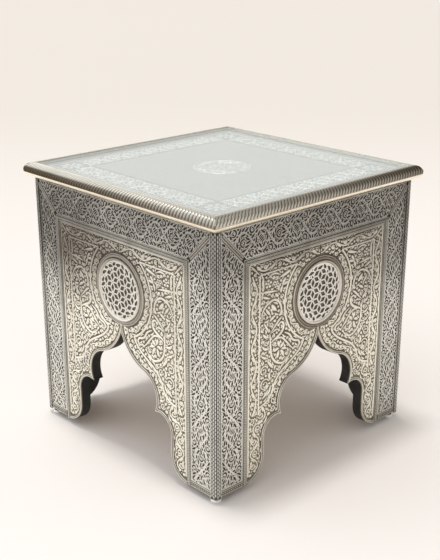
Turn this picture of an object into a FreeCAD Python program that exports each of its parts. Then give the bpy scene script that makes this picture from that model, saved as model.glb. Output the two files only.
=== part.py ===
"""Square side table: a wooden carcass clad in embossed white metal under a ribbed, glazed top.

Each of the four sides is an arched board doweled between two corner posts and covered by a mitred
frame of metal sheets, a bead strip, a panel sheet with a round medallion, and a trim along the arch.
The frame is +Z up with the origin on the floor at the middle of the table. The front side faces -Y,
and the other three sides are the same pieces turned about Z.
"""
import FreeCAD
import Part
import Sketcher
import math
import os

DRIVING_SIZES = (
    # name, millimetres, what it sets
    ("carcass_width", 470, "across the metal on two opposite sides"),
    ("table_height", 489, "floor to the top of the rim"),
    ("rim_thickness", 25, "height of the half-round rim"),
    ("rim_overhang", 15, "rim past the carcass"),
    ("rim_width", 17, "rim from its nose to the top board"),
    ("sheet_thickness", 1, "all metal sheet"),
    ("board_thickness", 18, "side boards"),
    ("post_width", 30, "square corner posts"),
    ("corner_radius", 10, "quarter-round metal bead on each corner"),
    ("corner_rise", 3.5, "corner bead past the two faces"),
    ("stile_width", 49, "upright and level metal strips of a side's frame"),
    ("rail_margin", 8, "rail above its mitres"),
    ("bead_width", 10, "bead strip round the panel"),
    ("bead_height", 3.5, "bead strip off the board"),
    ("mitre_width", 8, "strip over a mitre"),
    ("mitre_height", 1.5, "mitre strip off the sheet"),
    ("shoe_height", 10, "metal strip along a leg's foot"),
    ("shoe_lift", 2, "bare wood below the shoe strip"),
    ("shoe_depth", 2.5, "shoe strip off the board"),
    ("leg_width", 108, "outer face to the upright edge of the arch"),
    ("foot_land", 65, "flat foot of a leg, from the outer face"),
    ("arch_rise", 226, "arch template: point above the leg's foot"),
    ("ogee_radius", 90, "arch template: reverse curve below the point"),
    ("cusp_height", 105.5, "arch template: cusp above the leg's foot"),
    ("cusp_reach", 42, "arch template: cusp into the opening"),
    ("lobe_reach", 39, "arch template: cusp to the middle of the upper lobe, level"),
    ("lobe_lift", 22.5, "arch template: cusp to the middle of the upper lobe, upright"),
    ("foil_radius", 30, "arch template: lower lobe"),
    ("panel_lift", 4, "panel sheet above the leg's foot"),
    ("trim_width", 5, "rolled trim along the arch"),
    ("trim_height", 2.5, "trim off the panel sheet"),
    ("medallion_radius", 63, "outer ring of the medallion"),
    ("medallion_margin", 22.5, "panel above the medallion"),
    ("medallion_gap", 12.5, "panel between the medallion and the arch point"),
    ("ring_width", 8, "dark outer ring"),
    ("lip_width", 5, "bright inner ring"),
    ("medallion_height", 2, "lattice plate off the panel sheet"),
    ("ring_height", 3, "outer ring off the panel sheet"),
    ("lip_height", 4, "inner ring off the panel sheet"),
    ("kite_inner", 17, "inner point of a lattice opening"),
    ("kite_margin", 7, "outer point of a lattice opening to the inner ring"),
    ("kite_width", 9, "lattice opening across its shoulders"),
    ("kite_depth", 1.2, "lattice opening into the plate"),
    ("pane_thickness", 4, "glass"),
    ("pane_setback", 1, "glass below the rim"),
    ("pane_clearance", 0.5, "glass to the rim"),
    ("emboss_height", 1, "raised work on the top sheet"),
    ("border_outer", 17, "raised border of the top, in from the rim's lip"),
    ("border_width", 55, "raised border of the top"),
    ("rosette_radius", 50, "raised disc in the middle of the top"),
    ("cleat_width", 20, "square cleats under the top board"),
    ("cleat_gap", 2, "between two cleats in a corner"),
    ("screw_radius", 2, "screw shank"),
    ("screw_head_radius", 4, "screw head"),
    ("screw_head_height", 2.5, "screw head"),
    ("screw_bite", 12, "screw past its cleat"),
    ("upright_screw_reach", 120, "upright cleat screws from the middle"),
    ("level_screw_reach", 70, "level cleat screws from the middle"),
    ("dowel_radius", 4, "dowels between boards and posts"),
    ("dowel_length", 30, "dowels between boards and posts"),
    ("dowel_first", 50, "lowest dowel above the leg's foot"),
    ("dowel_last", 84, "highest dowel below the rim"),
    ("hole_clearance", 0.1, "hole round a dowel, pin, nail or screw"),
    ("hole_spare", 1, "hole past the end of what it holds"),
    ("pin_radius", 0.8, "pins that hold the frame's sheets"),
    ("pin_length", 10, "pin below its head"),
    ("pin_head_radius", 1.8, "pin head"),
    ("pin_head_height", 0.8, "pin head"),
    ("pin_inset", 6, "pins from the edge of a sheet"),
    ("rail_pin_reach", 120, "outer rail pins from the middle"),
    ("glide_inset", 11, "glide's middle in from the two outer faces"),
    ("glide_radius", 9, "glide foot"),
    ("glide_foot_height", 5, "metal foot of a glide"),
    ("glide_bevel", 1.5, "bevelled lower edge of the foot"),
    ("glide_pad_radius", 7.5, "black washer above the foot"),
    ("glide_pad_height", 5, "black washer above the foot"),
    ("nail_radius", 1.5, "glide nail"),
    ("nail_length", 20, "glide nail in the post"),
)
KITE_COUNT = 12

SIDES = ("front", "right", "back", "left")
CORNERS = ("front_right", "back_right", "back_left", "front_left")
QUARTER_TURN = 90
FULL_TURN = 360
MITRE_ANGLE = 45
UP = FreeCAD.Vector(0, 0, 1)
OUTWARD = FreeCAD.Vector(0, -1, 0)
INWARD = FreeCAD.Vector(0, 1, 0)
ACROSS = FreeCAD.Vector(1, 0, 0)

# Places that follow from the driving sizes
FACE = "(dims.carcass_width / 2)"
BOARD_FACE = f"({FACE} - dims.sheet_thickness)"
BOARD_BACK = f"({BOARD_FACE} - dims.board_thickness)"
POST_INNER = f"({BOARD_FACE} - dims.post_width)"
CORNER = f"({FACE} - dims.corner_radius)"
STILE_INNER = f"({CORNER} - dims.stile_width)"
PANEL_SIDE = f"({STILE_INNER} - dims.bead_width)"
FOOT = "(dims.glide_foot_height + dims.glide_pad_height)"
RIM_BOTTOM = "(dims.table_height - dims.rim_thickness)"
MITRE_TOP = f"({RIM_BOTTOM} - dims.rail_margin)"
RAIL_BOTTOM = f"({MITRE_TOP} - dims.stile_width)"
PANEL_TOP = f"({RAIL_BOTTOM} - dims.bead_width)"
SHOE_BOTTOM = f"({FOOT} + dims.shoe_lift)"
SHOE_TOP = f"({SHOE_BOTTOM} + dims.shoe_height)"
MEDALLION_Z = f"({PANEL_TOP} - dims.medallion_margin - dims.medallion_radius)"
ARCH_SIDE = f"({FACE} - dims.leg_width)"
ARCH_POINT = f"({MEDALLION_Z} - dims.medallion_radius - dims.medallion_gap)"
# The arch template is scaled to reach from the foot to the arch point
ARCH_FIT = f"(({ARCH_POINT} - {FOOT}) / dims.arch_rise)"
OGEE_RADIUS = f"(dims.ogee_radius * {ARCH_FIT})"
FOIL_RADIUS = f"(dims.foil_radius * {ARCH_FIT})"
FLARE_RADIUS = "(dims.leg_width - dims.foot_land)"
CUSP_X = f"({ARCH_SIDE} - dims.cusp_reach * {ARCH_FIT})"
CUSP_Z = f"({FOOT} + dims.cusp_height * {ARCH_FIT})"
LOBE_X = f"({CUSP_X} - dims.lobe_reach * {ARCH_FIT})"
LOBE_Z = f"({CUSP_Z} + dims.lobe_lift * {ARCH_FIT})"
LIP_OUTER = "(dims.medallion_radius - dims.ring_width)"
LATTICE_RADIUS = f"({LIP_OUTER} - dims.lip_width)"
NOSE = f"({FACE} + dims.rim_overhang)"
NOSE_RADIUS = "(dims.rim_thickness / 2)"
RIM_INNER = f"({NOSE} - dims.rim_width)"
RIM_LIP = f"({RIM_INNER} - dims.sheet_thickness)"
PANE_TOP = "(dims.table_height - dims.pane_setback)"
PANE_BOTTOM = f"({PANE_TOP} - dims.pane_thickness)"
SHEET_TOP = f"({PANE_BOTTOM} - dims.emboss_height)"
TOP_BOARD_TOP = f"({SHEET_TOP} - dims.sheet_thickness)"
CLEAT_INNER = f"({BOARD_BACK} - dims.cleat_width)"
CLEAT_HALF = f"({CLEAT_INNER} - dims.cleat_gap)"
CLEAT_BOTTOM = f"({RIM_BOTTOM} - dims.cleat_width)"
CLEAT_MIDDLE = f"({BOARD_BACK} - dims.cleat_width / 2)"
DOWEL_PLANE = f"({BOARD_FACE} - dims.board_thickness / 2)"
GLIDE = f"({FACE} - dims.glide_inset)"

doc = FreeCAD.newDocument("clad_table")
sheet = doc.addObject("Spreadsheet::Sheet", "dims")
for row, (alias, size, note) in enumerate(DRIVING_SIZES, start=1):
    sheet.set(f"A{row}", alias)
    sheet.set(f"B{row}", str(size))
    sheet.set(f"C{row}", note)
    sheet.setAlias(f"B{row}", alias)
doc.recompute()

sub_parts = []


def number(expression):
    """Value in millimetres of an expression on the driving sizes."""
    return float(sheet.evalExpression(expression))


def turned(side):
    """Placement that turns a front piece to the given side, 0 being the front."""
    return FreeCAD.Placement(FreeCAD.Vector(0, 0, 0), FreeCAD.Rotation(UP, QUARTER_TURN * side))


def finish(piece, label, side=0):
    """Name a finished sub-part, turn it to its side and list it for writing."""
    piece.Label = label
    piece.Placement = turned(side)
    sub_parts.append(piece)
    return piece


def new_body(name):
    """New empty body."""
    return doc.addObject("PartDesign::Body", name)


def origin_plane(body, role):
    """One of the body's own origin planes, by its role."""
    return next(plane for plane in body.Origin.OriginFeatures if plane.Role == role)


def new_sketch(body, role, offset="0", lift="0"):
    """Sketch on an origin plane, moved along the plane's normal and up the sketch's own Y."""
    sketch = body.newObject("Sketcher::SketchObject", "sketch")
    sketch.AttachmentSupport = [(origin_plane(body, role), "")]
    sketch.MapMode = "FlatFace"
    sketch.setExpression("AttachmentOffset.Base.z", offset)
    sketch.setExpression("AttachmentOffset.Base.y", lift)
    return sketch


def bind(sketch, expression, kind, *where):
    """Add a sized constraint and tie it to an expression."""
    index = sketch.addConstraint(Sketcher.Constraint(kind, *where, number(expression)))
    sketch.setExpression(f"Constraints[{index}]", expression)


def pin_axis(sketch, kind, zero_axis, geometry, point, expression):
    """Hold one coordinate of a sketch point at an expression's value."""
    value = number(expression)
    if expression == "0":
        sketch.addConstraint(Sketcher.Constraint("PointOnObject", geometry, point, zero_axis))
    elif value > 0:
        bind(sketch, expression, kind, -1, 1, geometry, point)
    else:
        bind(sketch, f"-({expression})", kind, geometry, point, -1, 1)


def pin_x(sketch, geometry, point, expression):
    """Hold the X of a sketch point."""
    pin_axis(sketch, "DistanceX", -2, geometry, point, expression)


def pin_y(sketch, geometry, point, expression):
    """Hold the Y of a sketch point."""
    pin_axis(sketch, "DistanceY", -1, geometry, point, expression)


def join(sketch, first, first_point, second, second_point):
    """Make two sketch points one."""
    sketch.addConstraint(Sketcher.Constraint("Coincident", first, first_point, second, second_point))


def meet_smoothly(sketch, first, first_point, second, second_point):
    """Make two sketch points one, with the curves tangent there."""
    sketch.addConstraint(Sketcher.Constraint("Tangent", first, first_point, second, second_point))


def at(x, y):
    """Point of a sketch."""
    return FreeCAD.Vector(x, y, 0)


def add_line(sketch, start, end):
    """Straight edge of a sketch between two numeric points."""
    return sketch.addGeometry(Part.LineSegment(at(*start), at(*end)))


def add_arc(sketch, middle, radius, start, end):
    """Arc of a sketch that turns anticlockwise from start to end."""
    first = math.atan2(start[1] - middle[1], start[0] - middle[0])
    last = math.atan2(end[1] - middle[1], end[0] - middle[0])
    circle = Part.Circle(at(*middle), UP, radius)
    return sketch.addGeometry(Part.ArcOfCircle(circle, first, last))


def add_profile(sketch, corners, arcs=None):
    """Closed outline whose corners are pairs of expressions.

    arcs maps the number of an edge to its middle and to whether it turns anticlockwise. The other
    edges are straight.
    """
    arcs = arcs or {}
    points = [(number(x), number(y)) for x, y in corners]
    ends = []
    for index, point in enumerate(points):
        following = points[(index + 1) % len(points)]
        if index not in arcs:
            ends.append((add_line(sketch, point, following), 1, 2))
            continue
        middle_x, middle_y, anticlockwise = arcs[index]
        middle = (number(middle_x), number(middle_y))
        radius = math.dist(middle, point)
        if anticlockwise:
            edge = add_arc(sketch, middle, radius, point, following)
            ends.append((edge, 1, 2))
        else:
            edge = add_arc(sketch, middle, radius, following, point)
            ends.append((edge, 2, 1))
    for index, (x, y) in enumerate(corners):
        before, _, before_end = ends[index - 1]
        after, after_start, _ = ends[index]
        join(sketch, before, before_end, after, after_start)
        pin_x(sketch, after, after_start, x)
        pin_y(sketch, after, after_start, y)
    for index, (middle_x, _, _) in arcs.items():
        pin_x(sketch, ends[index][0], 3, middle_x)


def add_circle(sketch, radius):
    """Circle about the sketch's origin."""
    circle = sketch.addGeometry(Part.Circle(at(0, 0), UP, number(radius)))
    join(sketch, circle, 3, -1, 1)
    bind(sketch, radius, "Radius", circle)


def square(half):
    """Corners of a square about the origin."""
    return ((f"-{half}", f"-{half}"), (half, f"-{half}"), (half, half), (f"-{half}", half))


def pad(body, sketch, length, symmetric=False):
    """Pad a sketch along its normal, or half to each side of its plane."""
    feature = body.newObject("PartDesign::Pad", "pad")
    feature.Profile = sketch
    feature.setExpression("Length", length)
    if symmetric:
        feature.SideType = "Symmetric"
    return feature


def mirror(body, feature):
    """Mirror a feature across the body's YZ plane."""
    mirrored = body.newObject("PartDesign::Mirrored", "mirrored")
    mirrored.Originals = [feature]
    mirrored.MirrorPlane = (origin_plane(body, "YZ_Plane"), [""])
    body.Tip = mirrored


def place(piece, x, y, z):
    """Bind a primitive's place to three expressions."""
    for axis, expression in zip("xyz", (x, y, z)):
        piece.setExpression(f"Placement.Base.{axis}", expression)


def new_cylinder(radius, height, x, y, z, axis=UP):
    """Cylinder that starts at a point and runs along an axis."""
    cylinder = doc.addObject("Part::Cylinder", "cylinder")
    cylinder.Placement = FreeCAD.Placement(FreeCAD.Vector(), FreeCAD.Rotation(UP, axis))
    cylinder.setExpression("Radius", radius)
    cylinder.setExpression("Height", height)
    place(cylinder, x, y, z)
    return cylinder


def new_box(length, depth, height, x, y, z, turn=0):
    """Box from its lowest corner, turned about Y by an angle in degrees."""
    box = doc.addObject("Part::Box", "box")
    box.Placement = FreeCAD.Placement(FreeCAD.Vector(), FreeCAD.Rotation(INWARD, turn))
    box.setExpression("Length", length)
    box.setExpression("Width", depth)
    box.setExpression("Height", height)
    place(box, x, y, z)
    return box


def group(pieces, side=0):
    """Set of separate solids, turned to a side."""
    compound = doc.addObject("Part::Compound", "group")
    compound.Links = pieces
    compound.Placement = turned(side)
    return compound


def on_every_side(make_set):
    """One set of solids for each of the four sides, as one group."""
    return group([group(make_set(), side) for side in range(len(SIDES))])


def fuse(first, second):
    """Two solids made one."""
    union = doc.addObject("Part::Fuse", "union")
    union.Base = first
    union.Tool = second
    return union


def drill(base, tools):
    """A piece with a set of tool solids taken out of it."""
    cut = doc.addObject("Part::Cut", "drilled")
    cut.Base = base
    cut.Tool = group(tools)
    return cut


def both_ways(expression):
    """An expression and its negative, for a pair of places left and right of the middle."""
    return expression, f"-({expression})"


def hole_radius(shank):
    """Radius of the hole for a shank."""
    return f"{shank} + dims.hole_clearance"


def two_circles_meet(first, first_radius, second, second_radius):
    """Where two circles meet, on the right-hand side going from the first middle to the second."""
    gap_x = second[0] - first[0]
    gap_y = second[1] - first[1]
    gap = math.hypot(gap_x, gap_y)
    along = (gap ** 2 + first_radius ** 2 - second_radius ** 2) / (2 * gap)
    across = math.sqrt(first_radius ** 2 - along ** 2)
    x = first[0] + (along * gap_x + across * gap_y) / gap
    y = first[1] + (along * gap_y - across * gap_x) / gap
    return x, y


def towards(start, target, distance):
    """Point at a distance from start on the way to target."""
    share = distance / math.dist(start, target)
    return start[0] + share * (target[0] - start[0]), start[1] + share * (target[1] - start[1])


class ArchCurve:
    """Right half of the arch's edge, or of a line a set distance outside it, in a side's sketch.

    From the point down: the ogee's reverse curve, the upper lobe, the cusp, the lower lobe, the
    upright edge and the flare of the foot. The numbers start the curve at its solved shape, and the
    constraints hold it to the driving sizes. The flare ends at its lowest point, or at a given height
    or distance from the middle.
    """

    def __init__(self, sketch, outset=0.0, end_height=None, end_side=None):
        side = number(ARCH_SIDE)
        foil = number(FOIL_RADIUS)
        flare = number(FLARE_RADIUS)
        ogee = number(OGEE_RADIUS)
        cusp = (number(CUSP_X), number(CUSP_Z))
        lobe_middle = (number(LOBE_X), number(LOBE_Z))
        lobe = math.dist(cusp, lobe_middle)
        foil_middle = (side - foil, cusp[1] - math.sqrt(foil ** 2 - (cusp[0] - side + foil) ** 2))
        flare_middle = (side + flare, number(FOOT) + flare)
        self.sketch = sketch
        self.point = (0.0, number(ARCH_POINT))
        ogee_middle = two_circles_meet(lobe_middle, lobe + ogee, self.point, ogee)
        self.start = towards(self.point, ogee_middle, outset)
        bend = towards(lobe_middle, ogee_middle, lobe + outset)
        corner = two_circles_meet(foil_middle, foil + outset, lobe_middle, lobe + outset)
        upright_top = (side + outset, foil_middle[1])
        upright_end = (side + outset, flare_middle[1])
        self.end = self.flare_end(flare_middle, flare - outset, end_height, end_side)
        self.ogee = add_arc(sketch, ogee_middle, ogee - outset, self.start, bend)
        self.lobe = add_arc(sketch, lobe_middle, lobe + outset, corner, bend)
        self.foil = add_arc(sketch, foil_middle, foil + outset, upright_top, corner)
        self.upright = add_line(sketch, upright_top, upright_end)
        self.flare = add_arc(sketch, flare_middle, flare - outset, upright_end, self.end)
        meet_smoothly(sketch, self.ogee, 2, self.lobe, 2)
        join(sketch, self.lobe, 1, self.foil, 2)
        meet_smoothly(sketch, self.foil, 1, self.upright, 1)
        meet_smoothly(sketch, self.upright, 2, self.flare, 1)
        sketch.addConstraint(Sketcher.Constraint("Vertical", self.upright))

    @staticmethod
    def flare_end(middle, radius, height, side):
        """Lowest point of the flare, or its point at a height or at a distance from the middle."""
        if height is not None:
            return middle[0] - math.sqrt(radius ** 2 - (middle[1] - height) ** 2), height
        if side is not None:
            return side, middle[1] - math.sqrt(radius ** 2 - (middle[0] - side) ** 2)
        return middle[0], middle[1] - radius

    def hold_to_sizes(self):
        """Tie the arch's own edge to the driving sizes."""
        sketch = self.sketch
        pin_x(sketch, self.ogee, 1, "0")
        pin_y(sketch, self.ogee, 1, ARCH_POINT)
        bind(sketch, OGEE_RADIUS, "Radius", self.ogee)
        pin_x(sketch, self.lobe, 1, CUSP_X)
        pin_y(sketch, self.lobe, 1, CUSP_Z)
        pin_x(sketch, self.lobe, 3, LOBE_X)
        pin_y(sketch, self.lobe, 3, LOBE_Z)
        bind(sketch, FOIL_RADIUS, "Radius", self.foil)
        pin_x(sketch, self.upright, 1, ARCH_SIDE)
        pin_y(sketch, self.flare, 3, f"{FOOT} + {FLARE_RADIUS}")
        bind(sketch, FLARE_RADIUS, "Radius", self.flare)

    def hold_outside(self, edge, outset):
        """Keep this curve a set distance outside the arch's edge in the same sketch."""
        for own, other in ((self.ogee, edge.ogee), (self.lobe, edge.lobe),
                           (self.foil, edge.foil), (self.flare, edge.flare)):
            join(self.sketch, own, 3, other, 3)
        bind(self.sketch, f"{OGEE_RADIUS} - {outset}", "Radius", self.ogee)
        bind(self.sketch, f"{FOIL_RADIUS} + {outset}", "Radius", self.foil)


def add_arched_plate(sketch, foot, outer, top, flare_to_foot):
    """Right half of a plate over the arch: foot and top are heights, outer is its upright edge."""
    low = number(foot)
    arch = ArchCurve(sketch, end_height=low) if flare_to_foot else ArchCurve(sketch)
    corners = (arch.end, (number(outer), low), (number(outer), number(top)), (0.0, number(top)),
               arch.point)
    lines = [add_line(sketch, corners[index], corners[index + 1]) for index in range(4)]
    arch.hold_to_sizes()
    join(sketch, arch.flare, 2, lines[0], 1)
    for index in range(3):
        join(sketch, lines[index], 2, lines[index + 1], 1)
    join(sketch, lines[3], 2, arch.ogee, 1)
    if flare_to_foot:
        pin_y(sketch, lines[0], 1, foot)
    else:
        pin_x(sketch, lines[0], 1, f"{ARCH_SIDE} + {FLARE_RADIUS}")
    for index, (x, y) in enumerate(((outer, foot), (outer, top), ("0", top))):
        pin_x(sketch, lines[index], 2, x)
        pin_y(sketch, lines[index], 2, y)


def dowel_heights():
    """Heights of the lowest, highest and middle dowel in a joint between a board and a post."""
    lowest = f"({FOOT} + dims.dowel_first)"
    highest = f"({RIM_BOTTOM} - dims.dowel_last)"
    return lowest, highest, f"(({lowest} + {highest}) / 2)"


def pin_places():
    """Places across and up a side of the pins of its left stile, right stile and rail."""
    heights = (f"({SHOE_TOP} + dims.pin_inset)", f"(({SHOE_TOP} + {RAIL_BOTTOM}) / 2)",
               f"({RAIL_BOTTOM} - dims.pin_inset)")
    right, left = both_ways(f"({STILE_INNER} + dims.pin_inset)")
    rail = f"({RAIL_BOTTOM} + dims.pin_inset)"
    return {
        "left": [(left, height) for height in heights],
        "right": [(right, height) for height in heights],
        "rail": [(x, rail) for x in ("0", *both_ways("dims.rail_pin_reach"))],
    }


def pin_holes(strip, start, depth):
    """Tools for the pin holes of one strip, from a face inwards."""
    radius = hole_radius("dims.pin_radius")
    return [new_cylinder(radius, depth, x, f"-{start}", z, INWARD) for x, z in pin_places()[strip]]


def make_board(side):
    """Arched side board with its dowel, pin and cleat-screw holes."""
    body = new_body("board_blank")
    sketch = new_sketch(body, "XZ_Plane", offset=BOARD_BACK)
    add_arched_plate(sketch, FOOT, POST_INNER, RIM_BOTTOM, flare_to_foot=False)
    mirror(body, pad(body, sketch, "dims.board_thickness"))
    tools = []
    dowel_depth = "(dims.dowel_length / 2 + dims.hole_spare)"
    for height in dowel_heights():
        for x in (f"-{POST_INNER}", f"({POST_INNER} - {dowel_depth})"):
            tools.append(new_cylinder(hole_radius("dims.dowel_radius"), dowel_depth,
                                      x, f"-{DOWEL_PLANE}", height, ACROSS))
    pin_depth = "dims.pin_length - dims.sheet_thickness + dims.hole_spare"
    for strip in pin_places():
        tools += pin_holes(strip, BOARD_FACE, pin_depth)
    for x in both_ways("dims.level_screw_reach"):
        tools.append(new_cylinder(hole_radius("dims.screw_radius"), "dims.screw_bite + dims.hole_spare",
                                  x, f"-{BOARD_BACK}", f"{CLEAT_BOTTOM} + dims.cleat_width / 2", OUTWARD))
    finish(drill(body, tools), f"side_board_{SIDES[side]}", side)


def make_post(corner):
    """Corner post with a rounded outer corner, dowel holes in two faces and a nail hole below."""
    body = new_body("post_blank")
    sketch = new_sketch(body, "XY_Plane", offset=FOOT)
    add_profile(sketch, (
        (POST_INNER, f"-{BOARD_FACE}"), (CORNER, f"-{BOARD_FACE}"), (BOARD_FACE, f"-{CORNER}"),
        (BOARD_FACE, f"-{POST_INNER}"), (POST_INNER, f"-{POST_INNER}"),
    ), arcs={1: (CORNER, f"-{CORNER}", True)})
    pad(body, sketch, f"{RIM_BOTTOM} - {FOOT}")
    radius = hole_radius("dims.dowel_radius")
    depth = "(dims.dowel_length / 2 + dims.hole_spare)"
    tools = []
    for height in dowel_heights():
        tools.append(new_cylinder(radius, depth, POST_INNER, f"-{DOWEL_PLANE}", height, ACROSS))
        tools.append(new_cylinder(radius, depth, DOWEL_PLANE, f"-{POST_INNER}", height, OUTWARD))
    tools.append(new_cylinder(hole_radius("dims.nail_radius"), "dims.nail_length + dims.hole_spare",
                              GLIDE, f"-{GLIDE}", FOOT))
    finish(drill(body, tools), f"corner_post_{CORNERS[corner]}", corner)


def cleat_set():
    """Square cleat under one edge of the top board, drilled for its upright and level screws."""
    bar = new_box(f"2 * {CLEAT_HALF}", "dims.cleat_width", "dims.cleat_width",
                  f"-{CLEAT_HALF}", f"-{BOARD_BACK}", CLEAT_BOTTOM)
    radius = hole_radius("dims.screw_radius")
    tools = [new_cylinder(radius, "dims.cleat_width", x, f"-{CLEAT_MIDDLE}", CLEAT_BOTTOM)
             for x in both_ways("dims.upright_screw_reach")]
    tools += [new_cylinder(radius, "dims.cleat_width", x, f"-{CLEAT_INNER}",
                           f"{CLEAT_BOTTOM} + dims.cleat_width / 2", OUTWARD)
              for x in both_ways("dims.level_screw_reach")]
    return [drill(bar, tools)]


def cleat_screw_set():
    """Screws of one cleat: two up into the top board and two out into the side board."""
    length = "dims.cleat_width + dims.screw_bite"
    middle = f"{CLEAT_BOTTOM} + dims.cleat_width / 2"
    screws = []
    for x in both_ways("dims.upright_screw_reach"):
        head = new_cylinder("dims.screw_head_radius", "dims.screw_head_height", x, f"-{CLEAT_MIDDLE}",
                            f"{CLEAT_BOTTOM} - dims.screw_head_height")
        screws.append(fuse(head, new_cylinder("dims.screw_radius", length, x, f"-{CLEAT_MIDDLE}",
                                              CLEAT_BOTTOM)))
    for x in both_ways("dims.level_screw_reach"):
        head = new_cylinder("dims.screw_head_radius", "dims.screw_head_height", x, f"-{CLEAT_INNER}",
                            middle, INWARD)
        screws.append(fuse(head, new_cylinder("dims.screw_radius", length, x, f"-{CLEAT_INNER}",
                                              middle, OUTWARD)))
    return screws


def dowel_set():
    """Dowels at the two ends of one side board."""
    starts = (f"({POST_INNER} - dims.dowel_length / 2)", f"-({POST_INNER} + dims.dowel_length / 2)")
    return [new_cylinder("dims.dowel_radius", "dims.dowel_length", x, f"-{DOWEL_PLANE}", height, ACROSS)
            for x in starts for height in dowel_heights()]


def sheet_pin_set():
    """Domed pins of one side's stiles and rail."""
    pins = []
    for places in pin_places().values():
        for x, z in places:
            head = new_cylinder("dims.pin_head_radius", "dims.pin_head_height", x, f"-{FACE}", z, OUTWARD)
            shank = new_cylinder("dims.pin_radius", "dims.pin_length", x, f"-{FACE}", z, INWARD)
            pins.append(fuse(head, shank))
    return pins


def make_top_board():
    """Wooden top inside the rim, drilled from below for the cleat screws."""
    slab = new_box(f"2 * {RIM_INNER}", f"2 * {RIM_INNER}", f"{TOP_BOARD_TOP} - {RIM_BOTTOM}",
                   f"-{RIM_INNER}", f"-{RIM_INNER}", RIM_BOTTOM)

    def holes():
        return [new_cylinder(hole_radius("dims.screw_radius"), "dims.screw_bite + dims.hole_spare",
                             x, f"-{CLEAT_MIDDLE}", RIM_BOTTOM)
                for x in both_ways("dims.upright_screw_reach")]

    finish(drill(slab, [on_every_side(holes)]), "top_board")


def make_top_sheet():
    """Metal sheet on the top board with a raised border and a raised disc in the middle."""
    body = new_body("top_sheet_body")
    plain = new_sketch(body, "XY_Plane", offset=TOP_BOARD_TOP)
    add_profile(plain, square(RIM_LIP))
    pad(body, plain, "dims.sheet_thickness")
    border = new_sketch(body, "XY_Plane", offset=SHEET_TOP)
    border_edge = f"({RIM_LIP} - dims.border_outer)"
    add_profile(border, square(border_edge))
    add_profile(border, square(f"({border_edge} - dims.border_width)"))
    pad(body, border, "dims.emboss_height")
    rosette = new_sketch(body, "XY_Plane", offset=SHEET_TOP)
    add_circle(rosette, "dims.rosette_radius")
    pad(body, rosette, "dims.emboss_height")
    finish(body, "top_sheet")


def make_glass_pane():
    """Loose pane that lies on the raised work of the top sheet, inside the rim."""
    half = f"({RIM_LIP} - dims.pane_clearance)"
    finish(new_box(f"2 * {half}", f"2 * {half}", "dims.pane_thickness", f"-{half}", f"-{half}",
                   PANE_BOTTOM), "glass_pane")


def mitre_ends(body):
    """Cut both ends of a rim strip to 45 degrees."""
    sketch = new_sketch(body, "XY_Plane")
    for sign in ("", "-"):
        add_profile(sketch, ((f"{sign}{RIM_LIP}", f"-{RIM_LIP}"), (f"{sign}{NOSE}", f"-{NOSE}"),
                             (f"{sign}{NOSE}", f"-{RIM_LIP}")))
    pocket = body.newObject("PartDesign::Pocket", "mitre")
    pocket.Profile = sketch
    pocket.Type = "ThroughAll"
    pocket.Reversed = True


def make_rim(side):
    """Half-round wooden rim strip and the metal that wraps it, mitred at both ends."""
    nose_middle = f"({NOSE} - {NOSE_RADIUS})"
    nose_height = f"({RIM_BOTTOM} + {NOSE_RADIUS})"
    core_bottom = f"({RIM_BOTTOM} + dims.sheet_thickness)"
    core_top = "(dims.table_height - dims.sheet_thickness)"
    core = new_body("rim_core_body")
    sketch = new_sketch(core, "YZ_Plane")
    add_profile(sketch, (
        (f"-{RIM_INNER}", core_top), (f"-{nose_middle}", core_top), (f"-{nose_middle}", core_bottom),
        (f"-{RIM_INNER}", core_bottom),
    ), arcs={1: (f"-{nose_middle}", nose_height, True)})
    pad(core, sketch, f"2 * {NOSE}", symmetric=True)
    mitre_ends(core)
    finish(core, f"rim_moulding_{SIDES[side]}", side)
    skin = new_body("rim_skin_body")
    sketch = new_sketch(skin, "YZ_Plane")
    add_profile(sketch, (
        (f"-{RIM_LIP}", "dims.table_height"), (f"-{nose_middle}", "dims.table_height"),
        (f"-{nose_middle}", RIM_BOTTOM), (f"-{RIM_INNER}", RIM_BOTTOM), (f"-{RIM_INNER}", core_bottom),
        (f"-{nose_middle}", core_bottom), (f"-{nose_middle}", core_top), (f"-{RIM_INNER}", core_top),
        (f"-{RIM_INNER}", SHEET_TOP), (f"-{RIM_LIP}", SHEET_TOP),
    ), arcs={1: (f"-{nose_middle}", nose_height, True), 5: (f"-{nose_middle}", nose_height, False)})
    pad(skin, sketch, f"2 * {NOSE}", symmetric=True)
    mitre_ends(skin)
    finish(skin, f"rim_cladding_{SIDES[side]}", side)


def make_corner_bead(corner):
    """Quarter-round metal bead over the rounded corner of a post, proud of the sheets beside it."""
    body = new_body("corner_bead_body")
    sketch = new_sketch(body, "XY_Plane", offset=FOOT)
    crown, turn = f"({FACE} + dims.corner_rise)", f"({CORNER} + dims.corner_rise)"
    add_profile(sketch, (
        (CORNER, f"-{crown}"), (turn, f"-{crown}"), (crown, f"-{turn}"), (crown, f"-{CORNER}"),
        (BOARD_FACE, f"-{CORNER}"), (CORNER, f"-{BOARD_FACE}"),
    ), arcs={1: (turn, f"-{turn}", True), 4: (CORNER, f"-{CORNER}", False)})
    pad(body, sketch, f"{RIM_BOTTOM} - {FOOT}")
    finish(body, f"corner_bead_{CORNERS[corner]}", corner)


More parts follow.
